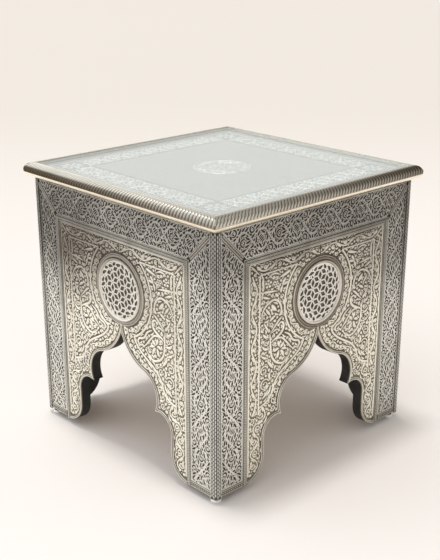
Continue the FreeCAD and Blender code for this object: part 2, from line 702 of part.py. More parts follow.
def make_frame_sheets(side):
    """Two stile sheets and a rail sheet, mitred together and drilled for their pins."""
    for name, sign in (("left", "-"), ("right", "")):
        body = new_body("stile_body")
        sketch = new_sketch(body, "XZ_Plane", offset=BOARD_FACE)
        add_profile(sketch, ((f"{sign}{STILE_INNER}", SHOE_TOP), (f"{sign}{CORNER}", SHOE_TOP),
                             (f"{sign}{CORNER}", MITRE_TOP), (f"{sign}{STILE_INNER}", RAIL_BOTTOM)))
        pad(body, sketch, "dims.sheet_thickness")
        finish(drill(body, pin_holes(name, FACE, "dims.sheet_thickness")),
               f"stile_sheet_{SIDES[side]}_{name}", side)
    body = new_body("rail_body")
    sketch = new_sketch(body, "XZ_Plane", offset=BOARD_FACE)
    add_profile(sketch, ((STILE_INNER, RAIL_BOTTOM), (CORNER, MITRE_TOP), (CORNER, RIM_BOTTOM),
                         (f"-{CORNER}", RIM_BOTTOM), (f"-{CORNER}", MITRE_TOP),
                         (f"-{STILE_INNER}", RAIL_BOTTOM)))
    pad(body, sketch, "dims.sheet_thickness")
    finish(drill(body, pin_holes("rail", FACE, "dims.sheet_thickness")), f"rail_sheet_{SIDES[side]}", side)


def make_panel_bead(side):
    """One bead strip bent round the top and both uprights of the panel."""
    body = new_body("panel_bead_body")
    sketch = new_sketch(body, "XZ_Plane", offset=BOARD_FACE)
    add_profile(sketch, (
        (STILE_INNER, FOOT), (STILE_INNER, RAIL_BOTTOM), (f"-{STILE_INNER}", RAIL_BOTTOM),
        (f"-{STILE_INNER}", FOOT), (f"-{PANEL_SIDE}", FOOT), (f"-{PANEL_SIDE}", PANEL_TOP),
        (PANEL_SIDE, PANEL_TOP), (PANEL_SIDE, FOOT),
    ))
    pad(body, sketch, "dims.bead_height")
    finish(body, f"panel_bead_{SIDES[side]}", side)


def make_panel_sheet(side):
    """Metal sheet inside the bead strip, cut to the arch."""
    body = new_body("panel_sheet_body")
    sketch = new_sketch(body, "XZ_Plane", offset=BOARD_FACE)
    add_arched_plate(sketch, f"({FOOT} + dims.panel_lift)", PANEL_SIDE, PANEL_TOP, flare_to_foot=True)
    mirror(body, pad(body, sketch, "dims.sheet_thickness"))
    finish(body, f"panel_sheet_{SIDES[side]}", side)


def make_arch_trim(side):
    """Raised trim of even width along the arch, on the panel sheet and the board's edge."""
    body = new_body("arch_trim_body")
    sketch = new_sketch(body, "XZ_Plane", offset=FACE)
    width = number("dims.trim_width")
    edge = ArchCurve(sketch, end_side=number(PANEL_SIDE))
    outside = ArchCurve(sketch, outset=width, end_side=number(PANEL_SIDE))
    tip = (0.0, edge.point[1] + width)
    cap = add_arc(sketch, edge.point, width, outside.start, tip)
    axis = add_line(sketch, tip, edge.point)
    foot = add_line(sketch, edge.end, outside.end)
    edge.hold_to_sizes()
    outside.hold_outside(edge, "dims.trim_width")
    join(sketch, cap, 3, edge.ogee, 1)
    meet_smoothly(sketch, cap, 1, outside.ogee, 1)
    join(sketch, cap, 2, axis, 1)
    join(sketch, axis, 2, edge.ogee, 1)
    pin_x(sketch, axis, 1, "0")
    join(sketch, edge.flare, 2, foot, 1)
    join(sketch, foot, 2, outside.flare, 2)
    pin_x(sketch, foot, 1, PANEL_SIDE)
    pin_x(sketch, foot, 2, PANEL_SIDE)
    mirror(body, pad(body, sketch, "dims.trim_height"))
    finish(body, f"arch_trim_{SIDES[side]}", side)


def make_medallion(side):
    """Round plate with a raised double ring and a star of kite-shaped openings."""
    body = new_body("medallion_body")
    profile = new_sketch(body, "YZ_Plane", lift=MEDALLION_Z)

    def out(height):
        return f"-({FACE} + {height})"

    add_profile(profile, (
        (f"-{FACE}", "0"), (f"-{FACE}", "dims.medallion_radius"),
        (out("dims.ring_height"), "dims.medallion_radius"), (out("dims.ring_height"), LIP_OUTER),
        (out("dims.lip_height"), LIP_OUTER), (out("dims.lip_height"), LATTICE_RADIUS),
        (out("dims.medallion_height"), LATTICE_RADIUS), (out("dims.medallion_height"), "0"),
    ))
    turning = body.newObject("PartDesign::Revolution", "turning")
    turning.Profile = profile
    turning.ReferenceAxis = (profile, ["H_Axis"])
    kite = new_sketch(body, "XZ_Plane", offset=f"({FACE} + dims.medallion_height)", lift=MEDALLION_Z)
    kite_outer = f"({LATTICE_RADIUS} - dims.kite_margin)"
    shoulder = f"((dims.kite_inner + {kite_outer}) / 2)"
    add_profile(kite, (("0", "dims.kite_inner"), ("dims.kite_width / 2", shoulder),
                       ("0", kite_outer), ("-dims.kite_width / 2", shoulder)))
    opening = body.newObject("PartDesign::Pocket", "opening")
    opening.Profile = kite
    opening.setExpression("Length", "dims.kite_depth")
    star = body.newObject("PartDesign::PolarPattern", "star")
    star.Originals = [opening]
    star.Axis = (kite, ["N_Axis"])
    star.Angle = FULL_TURN
    star.Occurrences = KITE_COUNT
    body.Tip = star
    finish(body, f"medallion_{SIDES[side]}", side)


def mitre_strip_set():
    """Two flat strips over the mitres of one side's frame."""
    length = "dims.stile_width * sqrt(2) - dims.mitre_width"
    outer = f"-({FACE} + dims.mitre_height)"
    slant = "dims.mitre_width * sqrt(0.5)"
    return [
        new_box(length, "dims.mitre_height", "dims.mitre_width",
                f"{STILE_INNER} + {slant}", outer, RAIL_BOTTOM, turn=-MITRE_ANGLE),
        new_box(length, "dims.mitre_height", "dims.mitre_width",
                f"-{STILE_INNER}", outer, f"{RAIL_BOTTOM} + {slant}", turn=MITRE_ANGLE - 2 * QUARTER_TURN),
    ]


def leg_shoe_set():
    """Two strips along the feet of one side's legs."""
    outer = f"-({BOARD_FACE} + dims.shoe_depth)"
    return [new_box("dims.stile_width", "dims.shoe_depth", "dims.shoe_height", x, outer, SHOE_BOTTOM)
            for x in (STILE_INNER, f"-{CORNER}")]


def glide_foot_set():
    """Metal foot with a bevelled lower edge, and its nail, under the post right of one side."""
    bevel = doc.addObject("Part::Cone", "bevel")
    bevel.setExpression("Radius1", "dims.glide_radius - dims.glide_bevel")
    bevel.setExpression("Radius2", "dims.glide_radius")
    bevel.setExpression("Height", "dims.glide_bevel")
    place(bevel, GLIDE, f"-{GLIDE}", "0")
    disc = new_cylinder("dims.glide_radius", "dims.glide_foot_height - dims.glide_bevel",
                        GLIDE, f"-{GLIDE}", "dims.glide_bevel")
    nail = new_cylinder("dims.nail_radius", "dims.glide_pad_height + dims.nail_length",
                        GLIDE, f"-{GLIDE}", "dims.glide_foot_height")
    return [fuse(fuse(bevel, disc), nail)]


def glide_pad_set():
    """Black washer between a glide's foot and the post right of one side."""
    washer = new_cylinder("dims.glide_pad_radius", "dims.glide_pad_height", GLIDE, f"-{GLIDE}",
                          "dims.glide_foot_height")
    bore = new_cylinder(hole_radius("dims.nail_radius"), "dims.glide_pad_height", GLIDE, f"-{GLIDE}",
                        "dims.glide_foot_height")
    return [drill(washer, [bore])]


def build():
    """Make every sub-part of the table."""
    for side in range(len(SIDES)):
        make_board(side)
        make_post(side)
        make_rim(side)
        make_corner_bead(side)
        make_frame_sheets(side)
        make_panel_bead(side)
        make_panel_sheet(side)
        make_arch_trim(side)
        make_medallion(side)
    make_top_board()
    make_top_sheet()
    make_glass_pane()
    for label, make_set in (("mitre_strips", mitre_strip_set), ("leg_shoes", leg_shoe_set),
                            ("glide_feet", glide_foot_set), ("glide_pads", glide_pad_set),
                            ("top_cleats", cleat_set), ("cleat_screws", cleat_screw_set),
                            ("dowels", dowel_set), ("sheet_pins", sheet_pin_set)):
        finish(on_every_side(make_set), label)
    doc.recompute()


def check():
    """Stop on a failed object or a bad shape."""
    for item in doc.Objects:
        if "Invalid" in item.State or "Error" in item.State:
            raise RuntimeError(f"{item.Name} failed: {item.State}")
    for piece in sub_parts:
        if piece.Shape.isNull() or not piece.Shape.isValid() or not piece.Shape.Solids:
            raise RuntimeError(f"{piece.Label} has no valid solid")


def write():
    """Write each sub-part to its own STEP file."""
    os.makedirs("parts", exist_ok=True)
    for piece in sub_parts:
        piece.Shape.exportStep(f"parts/{piece.Label}.step")
        print(f"{piece.Label}: {len(piece.Shape.Solids)} solids, {piece.Shape.Volume:.0f} mm3")


build()
check()
write()
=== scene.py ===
"""Dress the metal-clad square side table: chased sheets, ribbed rim, lattice medallions, glass and studio."""

import logging
import math
from collections.abc import Callable, Sequence
from dataclasses import dataclass, field, replace
from enum import Enum

import bpy
import numpy as np
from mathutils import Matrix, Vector
from mathutils.geometry import delaunay_2d_cdt


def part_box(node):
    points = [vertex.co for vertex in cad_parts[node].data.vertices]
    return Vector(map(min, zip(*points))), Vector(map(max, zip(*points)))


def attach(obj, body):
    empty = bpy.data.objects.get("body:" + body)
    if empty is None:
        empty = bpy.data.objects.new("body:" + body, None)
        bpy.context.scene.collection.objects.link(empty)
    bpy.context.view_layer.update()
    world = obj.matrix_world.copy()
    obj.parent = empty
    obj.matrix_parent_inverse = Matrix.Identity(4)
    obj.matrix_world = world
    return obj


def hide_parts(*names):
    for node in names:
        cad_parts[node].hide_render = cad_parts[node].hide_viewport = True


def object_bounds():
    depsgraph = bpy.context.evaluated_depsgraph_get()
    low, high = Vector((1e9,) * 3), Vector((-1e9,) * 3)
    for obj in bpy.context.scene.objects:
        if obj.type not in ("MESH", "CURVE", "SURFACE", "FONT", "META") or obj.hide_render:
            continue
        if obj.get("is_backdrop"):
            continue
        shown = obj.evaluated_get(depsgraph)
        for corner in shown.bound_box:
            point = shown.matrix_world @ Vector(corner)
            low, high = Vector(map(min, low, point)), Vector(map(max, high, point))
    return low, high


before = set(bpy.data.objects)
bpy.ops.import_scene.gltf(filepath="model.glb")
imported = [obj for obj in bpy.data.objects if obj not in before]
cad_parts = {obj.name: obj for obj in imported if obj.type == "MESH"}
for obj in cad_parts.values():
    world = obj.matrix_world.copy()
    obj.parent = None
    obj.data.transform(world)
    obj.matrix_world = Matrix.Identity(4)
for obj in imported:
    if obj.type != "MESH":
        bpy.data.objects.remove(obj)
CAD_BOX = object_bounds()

LOG = logging.getLogger("side_table")
MM = 0.001
BODY = "root"
# Depth that raised work is let in, and height from which its crests are rubbed in full, in millimetres
SINK = 0.15
FULL_HEIGHT = 1.45
# Spacing of the grids that find gaps, in narrow bands and in wide fields, in millimetres
FINE_STEP = 0.5
COARSE_STEP = 0.8
# A winding scroll's inner radius as a share of its outer one
SCROLL_EYE = 0.3
TINY = 1e-9
Array = np.ndarray
Socket = bpy.types.NodeSocket
Point = tuple[float, float]
Move = Callable[[Array], Array]
Lay = Callable[[Array, Array], Array]


class Spot(Enum):
    """A place on the table, with its turn about the upright axis in degrees as its value."""

    @property
    def word(self) -> str:
        """Name of the place in the CAD node names."""
        return self.name.lower()


class Side(Spot):
    """The four sides."""

    FRONT = 0
    RIGHT = 90
    BACK = 180
    LEFT = 270


class Corner(Spot):
    """The four corners."""

    FRONT_RIGHT = 0
    BACK_RIGHT = 90
    BACK_LEFT = 180
    FRONT_LEFT = 270


def node_box(name: str) -> tuple[list[float], ...]:
    """Return the lowest and highest corner of a CAD node in millimetres."""
    return tuple([float(value) / MM for value in corner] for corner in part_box(name))


@dataclass(frozen=True)
class Stroke:
    """A raised line: its path, and half its width and its height at each point, in millimetres."""

    path: Array
    half_width: Array
    height: Array


@dataclass(frozen=True)
class Boss:
    """A raised dot, in millimetres."""

    middle: Point
    radius: float
    height: float


def spline(points: Sequence[Point], step: float = 1.6) -> Array:
    """Draw a smooth open curve.

    Args:
        points: Points that it passes through, in millimetres.
        step: About how far apart its samples lie.

    Returns:
        Sampled points, one row each.
    """
    knots = np.asarray(points, float)
    knots = np.vstack([2 * knots[0] - knots[1], knots, 2 * knots[-1] - knots[-2]])
    pieces = []
    for i in range(1, len(knots) - 2):
        count = max(2, int(math.dist(knots[i], knots[i + 1]) / step) + 1)
        t = np.linspace(0, 1, count, endpoint=False)[:, None]
        a, b, c, d = knots[i - 1:i + 3]
        pieces.append(0.5 * (2 * b + (c - a) * t + (2 * a - 5 * b + 4 * c - d) * t ** 2
                             + (3 * b - a - 3 * c + d) * t ** 3))
    return np.vstack([*pieces, knots[-2:-1]])


def straight(start: Point, end: Point, count: int) -> Array:
    """Return this many points along a straight line."""
    return np.column_stack([np.linspace(start[k], end[k], count) for k in (0, 1)])


def polar(middle: Point, reach: Array | float, angles: Array) -> Array:
    """Return points at these distances and angles, in radians, round a middle."""
    return np.column_stack([middle[0] + reach * np.cos(angles), middle[1] + reach * np.sin(angles)])


def arc(middle: Point, radius: float, start: float, end: float, step: float = 2.0) -> Array:
    """Sample a circular arc in steps of about this length, with its angles in degrees."""
    count = max(4, int(abs(math.radians(end - start)) * radius / step) + 1)
    return polar(middle, radius, np.radians(np.linspace(start, end, count)))


def angle_to(start: Point, end: Point) -> float:
    """Return the angle in degrees of the way from one point to another."""
    return math.degrees(math.atan2(end[1] - start[1], end[0] - start[0]))


def direction(angle: float) -> Array:
    """Return the unit direction at an angle in radians."""
    return np.array([math.cos(angle), math.sin(angle)])


def headings(path: Array, *spacing: Array) -> tuple[Array, Array]:
    """Find which way a path runs.

    Args:
        path: Points along it.
        spacing: How far along each point lies, where that is uneven.

    Returns:
        Unit directions along the path and to its left.
    """
    slope = np.gradient(path, *spacing, axis=0)
    slope /= np.maximum(np.hypot(*slope.T), TINY)[:, None]
    return slope, np.column_stack([-slope[:, 1], slope[:, 0]])


def runs_of(keep: Array) -> list[slice]:
    """Return the unbroken runs of true values as slices."""
    edges = np.flatnonzero(np.diff(np.concatenate([[False], keep, [False]]).astype(int)))
    return [slice(edges[i], edges[i + 1]) for i in range(0, len(edges), 2)]


def inside_outline(points: Array, outline: Array, margin: float = 0.0) -> Array:
    """Tell which points lie inside a closed outline.

    Args:
        points: Points to test.
        outline: Corners of the outline.
        margin: How far they have to be from its corners.

    Returns:
        One truth value per point.
    """
    x, y = points[:, 0:1], points[:, 1:2]
    start, end = outline, np.roll(outline, -1, axis=0)
    rise = end[:, 1] - start[:, 1]
    crosses = (start[:, 1] > y) != (end[:, 1] > y)
    meet = start[:, 0] + (y - start[:, 1]) / np.where(rise == 0, TINY, rise) * (end[:, 0] - start[:, 0])
    found = (crosses & (x < meet)).sum(axis=1) % 2 == 1
    if margin > 0:
        found &= np.hypot(x - outline[:, 0], y - outline[:, 1]).min(axis=1) > margin
    return found


@dataclass
class Tracery:
    """The raised lines and dots of one field, whose height is in millimetres."""

    height: float
    strokes: list[Stroke] = field(default_factory=list)
    bosses: list[Boss] = field(default_factory=list)

    def line(self, path: Array, width: float, ends: float = 1.0) -> None:
        """Raise an even line.

        Args:
            path: Points along it.
            width: Full width in millimetres.
            ends: Share of the width that is left at its two ends.
        """
        t = np.linspace(0, 1, len(path))
        share = np.minimum(1, ends + (1 - ends) * 4 * np.minimum(t, 1 - t))
        self.strokes.append(Stroke(path, width / 2 * share, self.height * np.sqrt(share)))

    def leaf(self, points: Sequence[Point], width: float, fullest: float = 0.45, lift: float = 1.0) -> None:
        """Raise a leaf that is pointed at both ends.

        Args:
            points: Its midrib, from stalk to tip.
            width: Full width at its widest.
            fullest: Where along it that is, as a share of its length.
            lift: Share of the field's height.
        """
        path = spline(points, min(1.6, math.dist(points[0], points[-1]) / 7))
        t = np.linspace(0, 1, len(path))
        bent = np.where(t < fullest, 0.5 * t / fullest, 0.5 + 0.5 * (t - fullest) / (1 - fullest))
        share = 0.12 + 0.88 * np.sin(np.pi * bent) ** 0.8
        self.strokes.append(Stroke(path, width / 2 * share, self.height * lift * (0.55 + 0.45 * share)))

    def scroll(self, middle: Point, radius: float, start: float, turn: float, width: float,
               lift: float = 1.0) -> None:
        """Raise a spiral that winds inward to a round eye.

        Args:
            middle: Middle of the spiral.
            radius: Outer radius of the line's middle.
            start: Angle of the outer end, in degrees.
            turn: Degrees that it winds, positive anticlockwise.
            width: Full width of the line.
            lift: Share of the field's height.
        """
        count = max(8, int(abs(math.radians(turn)) * radius * 0.75 / 1.7))
        t = np.linspace(0, 1, count)
        reach = radius * (1 + (SCROLL_EYE - 1) * t ** 1.25)
        path = polar(middle, reach, np.radians(start + turn * t))
        self.strokes.append(Stroke(path, width / 2 * (1 - 0.25 * t), self.height * lift * np.ones(count)))
        self.boss(path[-1], width * 0.72, lift)

    def blossom(self, middle: Point, radius: float, petals: int, turn: float = 0.0) -> None:
        """Raise a flower of short petals round a berry.

        Args:
            middle: Middle of the flower.
            radius: Reach of the petals.
            petals: How many there are.
            turn: Angle of the first, in degrees.
        """
        for k in range(petals):
            out = direction(math.radians(turn + 360 * k / petals))
            near = np.asarray(middle) + out * radius * 0.34
            far = np.asarray(middle) + out * radius
            self.leaf((near, (near + far) / 2, far), radius * 3.7 / petals, 0.6)
        self.boss(middle, radius * 0.3)

    def boss(self, middle: Point, radius: float, lift: float = 1.0) -> None:
        """Raise a round dot."""
        self.bosses.append(Boss((float(middle[0]), float(middle[1])), radius, self.height * lift))

    def place(self, other: "Tracery", move: Move | None = None, inside: Move | None = None) -> None:
        """Add a copy of other tracery.

        Args:
            other: What to copy.
            move: Takes its points to their new places.
            inside: Tells which moved points lie in the field; lines are cut there.
        """
        for stroke in other.strokes:
            path = move(stroke.path) if move else stroke.path
            keep = inside(path) if inside else np.ones(len(path), bool)
            for run in runs_of(keep):
                if run.stop - run.start >= 3:
                    self.strokes.append(Stroke(path[run], stroke.half_width[run], stroke.height[run]))
        for boss in other.bosses:
            middle = np.array([boss.middle])
            middle = move(middle) if move else middle
            if inside is None or inside(middle)[0]:
                self.bosses.append(Boss(tuple(middle[0]), boss.radius, boss.height))

    def mirrored(self) -> "Tracery":
        """Join these lines with their mirror image across the middle.

        Returns:
            Tracery of both halves.
        """
        both = Tracery(self.height)
        both.place(self)
        both.place(self, lambda path: path * (-1, 1))
        return both

    def samples(self) -> Array:
        """Sample every line and dot.

        Returns:
            Rows of across, up and half width.
        """
        rows = [np.column_stack([s.path, s.half_width]) for s in self.strokes]
        rows += [np.array([[*b.middle, b.radius]]) for b in self.bosses]
        return np.vstack(rows) if rows else np.zeros((0, 3))


class GapFiller:
    """Fills what is left of a field with leaves, curls, berries or openings, the widest gap first."""

    directions = 8
    farthest = 9.0
    most = 2000
    curl_room = 3.8
    curl_radius = 6.0
    curl_line = 2.7
    curl_winding = 400
    curl_turn = 137.5
    leaf_width = 4.0
    leaf_reach = 7.5
    cut_reach = 4.6
    cut_least = 0.5

    def __init__(self, low: Point, high: Point, step: float, inside: Move,
                 period: float | None = None) -> None:
        """Lay a grid over the field.

        Args:
            low: Lowest corner of the grid.
            high: Highest corner of the grid.
            step: Grid spacing in millimetres.
            inside: Tells which points lie in the field.
            period: Distance at which the field repeats along, if it does.
        """
        self.step = step
        self.across = np.arange(low[0], high[0] + step / 2, step)
        self.up = np.arange(low[1], high[1] + step / 2, step)
        self.period = period
        grid_x, grid_y = np.meshgrid(self.across, self.up)
        points = np.column_stack([grid_x.ravel(), grid_y.ravel()])
        ground = inside(points).reshape(grid_x.shape)
        around = np.pad(np.pad(ground, ((1, 1), (0, 0))), ((0, 0), (1, 1)), "edge" if period else "constant")
        open_all_round = around[:-2, 1:-1] & around[2:, 1:-1] & around[1:-1, :-2] & around[1:-1, 2:]
        self.clear = np.where(ground, self.farthest, -self.farthest)
        rim = points[(ground & ~open_all_round).ravel()]
        self.block(np.column_stack([rim, np.zeros(len(rim))]))

    @classmethod
    def within(cls, outline: Array, step: float) -> "GapFiller":
        """Lay a grid over a closed outline."""
        low, high = tuple(outline.min(axis=0)), tuple(outline.max(axis=0))
        return cls(low, high, step, lambda points: inside_outline(points, outline))

    @classmethod
    def along_band(cls, pitch: float, half: float, bare: float) -> "GapFiller":
        """Lay a grid over one period of a level band, with this much left out above and below."""
        low, high = (-pitch, -half + bare), (pitch - FINE_STEP, half - bare)
        return cls(low, high, FINE_STEP, lambda points: np.abs(points[:, 1]) < half, 2 * pitch)

    def block(self, rows: Array) -> None:
        """Take the room round some points out of the field.

        Args:
            rows: Across, up and half width of each.
        """
        if not len(rows):
            return
        if self.period is not None:
            shift = np.array([self.period, 0.0, 0.0])
            rows = np.vstack([rows, rows + shift, rows - shift])
        for chunk in np.array_split(rows, max(1, len(rows) // 12)):
            reach = self.farthest + chunk[:, 2].max(initial=0)
            (left, low), (right, high) = chunk[:, :2].min(axis=0) - reach, chunk[:, :2].max(axis=0) + reach
            columns = slice(*np.searchsorted(self.across, (left, right)))
            levels = slice(*np.searchsorted(self.up, (low, high)))
            x = self.across[columns][None, :, None] - chunk[:, 0]
            y = self.up[levels][:, None, None] - chunk[:, 1]
            if x.size and y.size:
                gap = (np.hypot(x, y) - chunk[:, 2]).min(axis=2)
                self.clear[levels, columns] = np.minimum(self.clear[levels, columns], gap)

    def widest_gap(self) -> tuple[Array, float]:
        """Return the middle of the widest gap and the clearance there."""
        row, column = np.unravel_index(int(np.argmax(self.clear)), self.clear.shape)
        return np.array([self.across[column], self.up[row]]), float(self.clear[row, column])

    def reach(self, start: Array, toward: Array, needed: float) -> float:
        """Find how far a clearance lasts in one direction.

        Args:
            start: Where to start.
            toward: The direction.
            needed: The clearance.

        Returns:
            The distance, which ends at the grid's edge at the latest.
        """
        length = 0.0
        while length < self.farthest:
            across, up = start + toward * (length + self.step) - (self.across[0], self.up[0])
            column, row = int(round(across / self.step)), int(round(up / self.step))
            within = 0 <= row < len(self.up) and 0 <= column < len(self.across)
            if not within or self.clear[row, column] <= needed:
                break
            length += self.step
        return length

    def longest(self, spot: Array, needed: float, limit: float) -> tuple[float, float, Array]:
        """Find the direction in which a gap runs longest.

        Args:
            spot: Middle of the gap.
            needed: Clearance that has to last.
            limit: Longest reach that is of use, each way.

        Returns:
            The reach ahead, the reach behind and the direction.
        """
        best = (0.0, 0.0, np.array([1.0, 0.0]))
        for k in range(self.directions):
            toward = direction(math.pi * (k + 0.5) / self.directions)
            ahead = min(limit, self.reach(spot, toward, needed))
            behind = min(limit, self.reach(spot, -toward, needed))
            if ahead + behind > best[0] + best[1]:
                best = (ahead, behind, toward)
        return best

    def fill(self, tracery: Tracery, gap: float, smallest: float, lift: float) -> None:
        """Put leaves, curls and berries into the gaps.

        Args:
            tracery: Lines that are there already; the new ones join them.
            gap: Ground left bare between two lines.
            smallest: Clearance below which a gap stays bare.
            lift: Share of the field's height for the new pieces.
        """
        self.block(tracery.samples())
        for turn in range(self.most):
            spot, room = self.widest_gap()
            if room < smallest:
                return
            added = self.motif(spot, room, gap, Tracery(tracery.height), lift, 1 if turn % 2 else -1, turn)
            tracery.place(added)
            self.block(added.samples())

    def motif(self, spot: Array, room: float, gap: float, added: Tracery, lift: float, way: int,
              turn: int) -> Tracery:
        """Choose and draw what goes into one gap.

        Args:
            spot: Middle of the gap.
            room: Clearance there.
            gap: Ground to leave bare round it.
            added: Empty tracery to draw in.
            lift: Share of its height.
            way: 1 or -1, the way that curls and leaves bend.
            turn: Running number, which varies where curls start.

        Returns:
            The new lines and dots.
        """
        ahead, behind, toward = self.longest(spot, room * 0.55, self.leaf_reach)
        full = min(2 * (room - gap / 2), self.leaf_width)
        if room > self.curl_room:
            size = min(room - gap / 2 - 1.1, self.curl_radius)
            winding = self.curl_winding * way
            added.scroll(tuple(spot), size, self.curl_turn * turn, winding, self.curl_line, lift)
        elif ahead + behind > 0.55 * room:
            side = np.array([-toward[1], toward[0]]) * 0.5 * full * way
            ends = (spot - toward * (behind + 0.3 * room), spot + side, spot + toward * (ahead + 0.3 * room))
            added.leaf(ends, full, 0.4, lift)
        else:
            added.boss(tuple(spot), max(0.7, full / 2), lift)
        return added

    def pierce(self, openings: Tracery, web: float, widest: float = 1.65) -> None:
        """Cut leaf-shaped openings where the sheet is widest, until none fits any more.

        Args:
            openings: Openings that are there already; the new ones join them.
            web: Metal left between two openings.
            widest: Largest half width of an opening.
        """
        self.block(openings.samples())
        for turn in range(self.most):
            spot, room = self.widest_gap()
            wide = min(room - web, widest)
            if wide < self.cut_least:
                return
            ahead, behind, toward = self.longest(spot, web + wide * 0.5, self.cut_reach)
            side = np.array([-toward[1], toward[0]]) * wide * (0.4 if turn % 2 else -0.4)
            ends = (spot - toward * (behind + wide * 0.6), spot + side, spot + toward * (ahead + wide * 0.6))
            added = Tracery(1.0)
            added.leaf(ends, 2 * wide, 0.4)
            openings.place(added)
            self.block(added.samples())


class PiercedLattice:
    """A light sheet pierced by dark commas that leave interlaced straps and spiral roundels standing."""

    outer_cut = 2.5
    inner_cut = 1.7
    hatch_cut = 2.0
    hatch_pitch = 3.5
    edge_gap = 0.8

    def __init__(self, pitch: float, half: float, swing: float, strap: float, roundel: float,
                 web: float) -> None:
        """Draw the openings of one period of the pattern along a level strip.

        Args:
            pitch: From one crossing of the two straps to the next.
            half: Half height of the strip.
            swing: How far the straps swing from its middle.
            strap: Width of a strap.
            roundel: Outer radius of a roundel's ring of openings.
            web: Metal left between two openings.
        """
        self.period = 2 * pitch
        self.web = web
        self.cell = Tracery(1.0)
        along = np.linspace(-pitch, pitch, 2 * int(pitch) + 1)
        straps = [np.column_stack([along, way * swing * np.sin(np.pi * along / pitch)]) for way in (1, -1)]
        blocks = [np.column_stack([wave, np.full(len(wave), strap / 2 - web + 0.25)]) for wave in straps]
        self.roundel((-0.5 * pitch, 0.0), roundel * 1.1, 60, 1)
        off = half - roundel - self.edge_gap
        self.edge_roundels(-pitch * 0.02, off, roundel, 1)
        self.hatch((0.5 * pitch, 0.0), roundel * 0.95, 38.0)
        self.edge_roundels(pitch - pitch * 0.02, off, roundel, -1)
        spots = np.array([[k * pitch, 0.0, strap * 0.8 - web] for k in (-1, 0, 1)])
        self.kept = np.vstack([*blocks, spots])
        filler = GapFiller.along_band(pitch, half, 0.0)
        filler.block(self.kept)
        filler.pierce(self.cell, web)

    def edge_roundels(self, along: float, off: float, radius: float, hand: int) -> None:
        """Draw the two roundels at the edges of the strip, one above the other and opposite in hand."""
        for way in (1, -1):
            self.roundel((along, way * off), radius, 90 * way + 20, way * hand)

    def roundel(self, middle: Point, radius: float, start: float, way: int) -> None:
        """Draw the two comma openings that leave a spiral with an eye standing.

        Args:
            middle: Middle of the spiral.
            radius: Reach of its openings.
            start: Angle of the spiral's outer end, in degrees.
            way: 1 for anticlockwise and -1 for clockwise.
        """
        outer = arc(middle, radius - 1.1, start, start + way * 250, 1.5)
        inner = arc(middle, radius * 0.36, start + way * 170, start + way * 400, 1.1)
        for path, width in ((outer, self.outer_cut), (inner, self.inner_cut)):
            t = np.linspace(0, 1, len(path))
            share = 0.25 + 0.75 * np.sin(np.pi * t ** 0.7) ** 0.7
            self.cell.strokes.append(Stroke(path, width / 2 * share, share))

    def hatch(self, middle: Point, radius: float, angle: float) -> None:
        """Draw slanted cuts side by side that leave a veined leaf standing.

        Args:
            middle: Middle of the leaf.
            radius: Reach of its cuts.
            angle: Slant of the cuts in degrees.
        """
        toward = direction(math.radians(angle))
        side = np.array([-toward[1], toward[0]])
        for k in (-1.5, -0.5, 0.5, 1.5):
            reach = radius * (1.0 - 0.16 * k * k)
            start = np.array(middle) + side * k * self.hatch_pitch - toward * reach
            end = np.array(middle) + side * k * self.hatch_pitch + toward * reach
            self.cell.leaf((start, (start + end) / 2 + side * 0.5, end), self.hatch_cut, 0.5)

    def plate(self, outline: Array, to_side: Move, reach: float) -> list[Stroke]:
        """Cut the openings of a whole plate, filled right up to its edge.

        Args:
            outline: Corners of the plate on the side.
            to_side: Takes points along and across the strip to the side.
            reach: How far the strip runs both ways from its start.

        Returns:
            Openings that keep clear of the plate's edge.
        """
        whole = Tracery(1.0)
        kept = []
        for k in range(math.floor(-reach / self.period), math.ceil(reach / self.period) + 1):
            shift = (k * self.period, 0.0)
            moved = Tracery(1.0)
            moved.place(self.cell, lambda path: to_side(path + shift))
            whole.strokes += [s for s in moved.strokes if self.clear_of(s, outline)]
            place = to_side(self.kept[:, :2] + shift)
            kept.append(np.column_stack([place, self.kept[:, 2]])[inside_outline(place, outline)])
        filler = GapFiller.within(outline, FINE_STEP)
        filler.block(np.vstack(kept))
        filler.pierce(whole, self.web)
        return whole.strokes

    def clear_of(self, opening: Stroke, outline: Array) -> bool:
        """Tell whether an opening keeps clear of a plate's edges.

        Args:
            opening: The opening.
            outline: Corners of the plate.

        Returns:
            True if it lies inside and leaves a margin.
        """
        path, margin = opening.path, 0.55 + opening.half_width.max() * 0.6
        if not inside_outline(path, outline).all():
            return False
        for start, end in zip(outline, np.roll(outline, -1, axis=0)):
            edge = (end - start) / math.dist(start, end)
            off = (path[:, 0] - start[0]) * edge[1] - (path[:, 1] - start[1]) * edge[0]
            if np.abs(off).min() < margin:
                return False
        return True


class Ribbon:
    """Carries a straight pattern onto a curved band, which follows a path."""

    def __init__(self, path: Array) -> None:
        """Measure the path.

        Args:
            path: Points along it in millimetres.
        """
        self.path = path
        self.along = np.concatenate([[0.0], np.cumsum(np.hypot(*np.diff(path, axis=0).T))])
        self.length = float(self.along[-1])
        self.normal = headings(path, self.along)[1]

    def at(self, along: Array, values: Array) -> Array:
        """Return values given at the path's points at other distances along it."""
        return np.column_stack([np.interp(along, self.along, values[:, k]) for k in (0, 1)])

    def lay(self, points: Array) -> Array:
        """Take points given along and across the band to their places on it."""
        along = np.clip(points[:, 0], 0, self.length)
        return self.at(along, self.path) + self.at(along, self.normal) * points[:, 1:2]


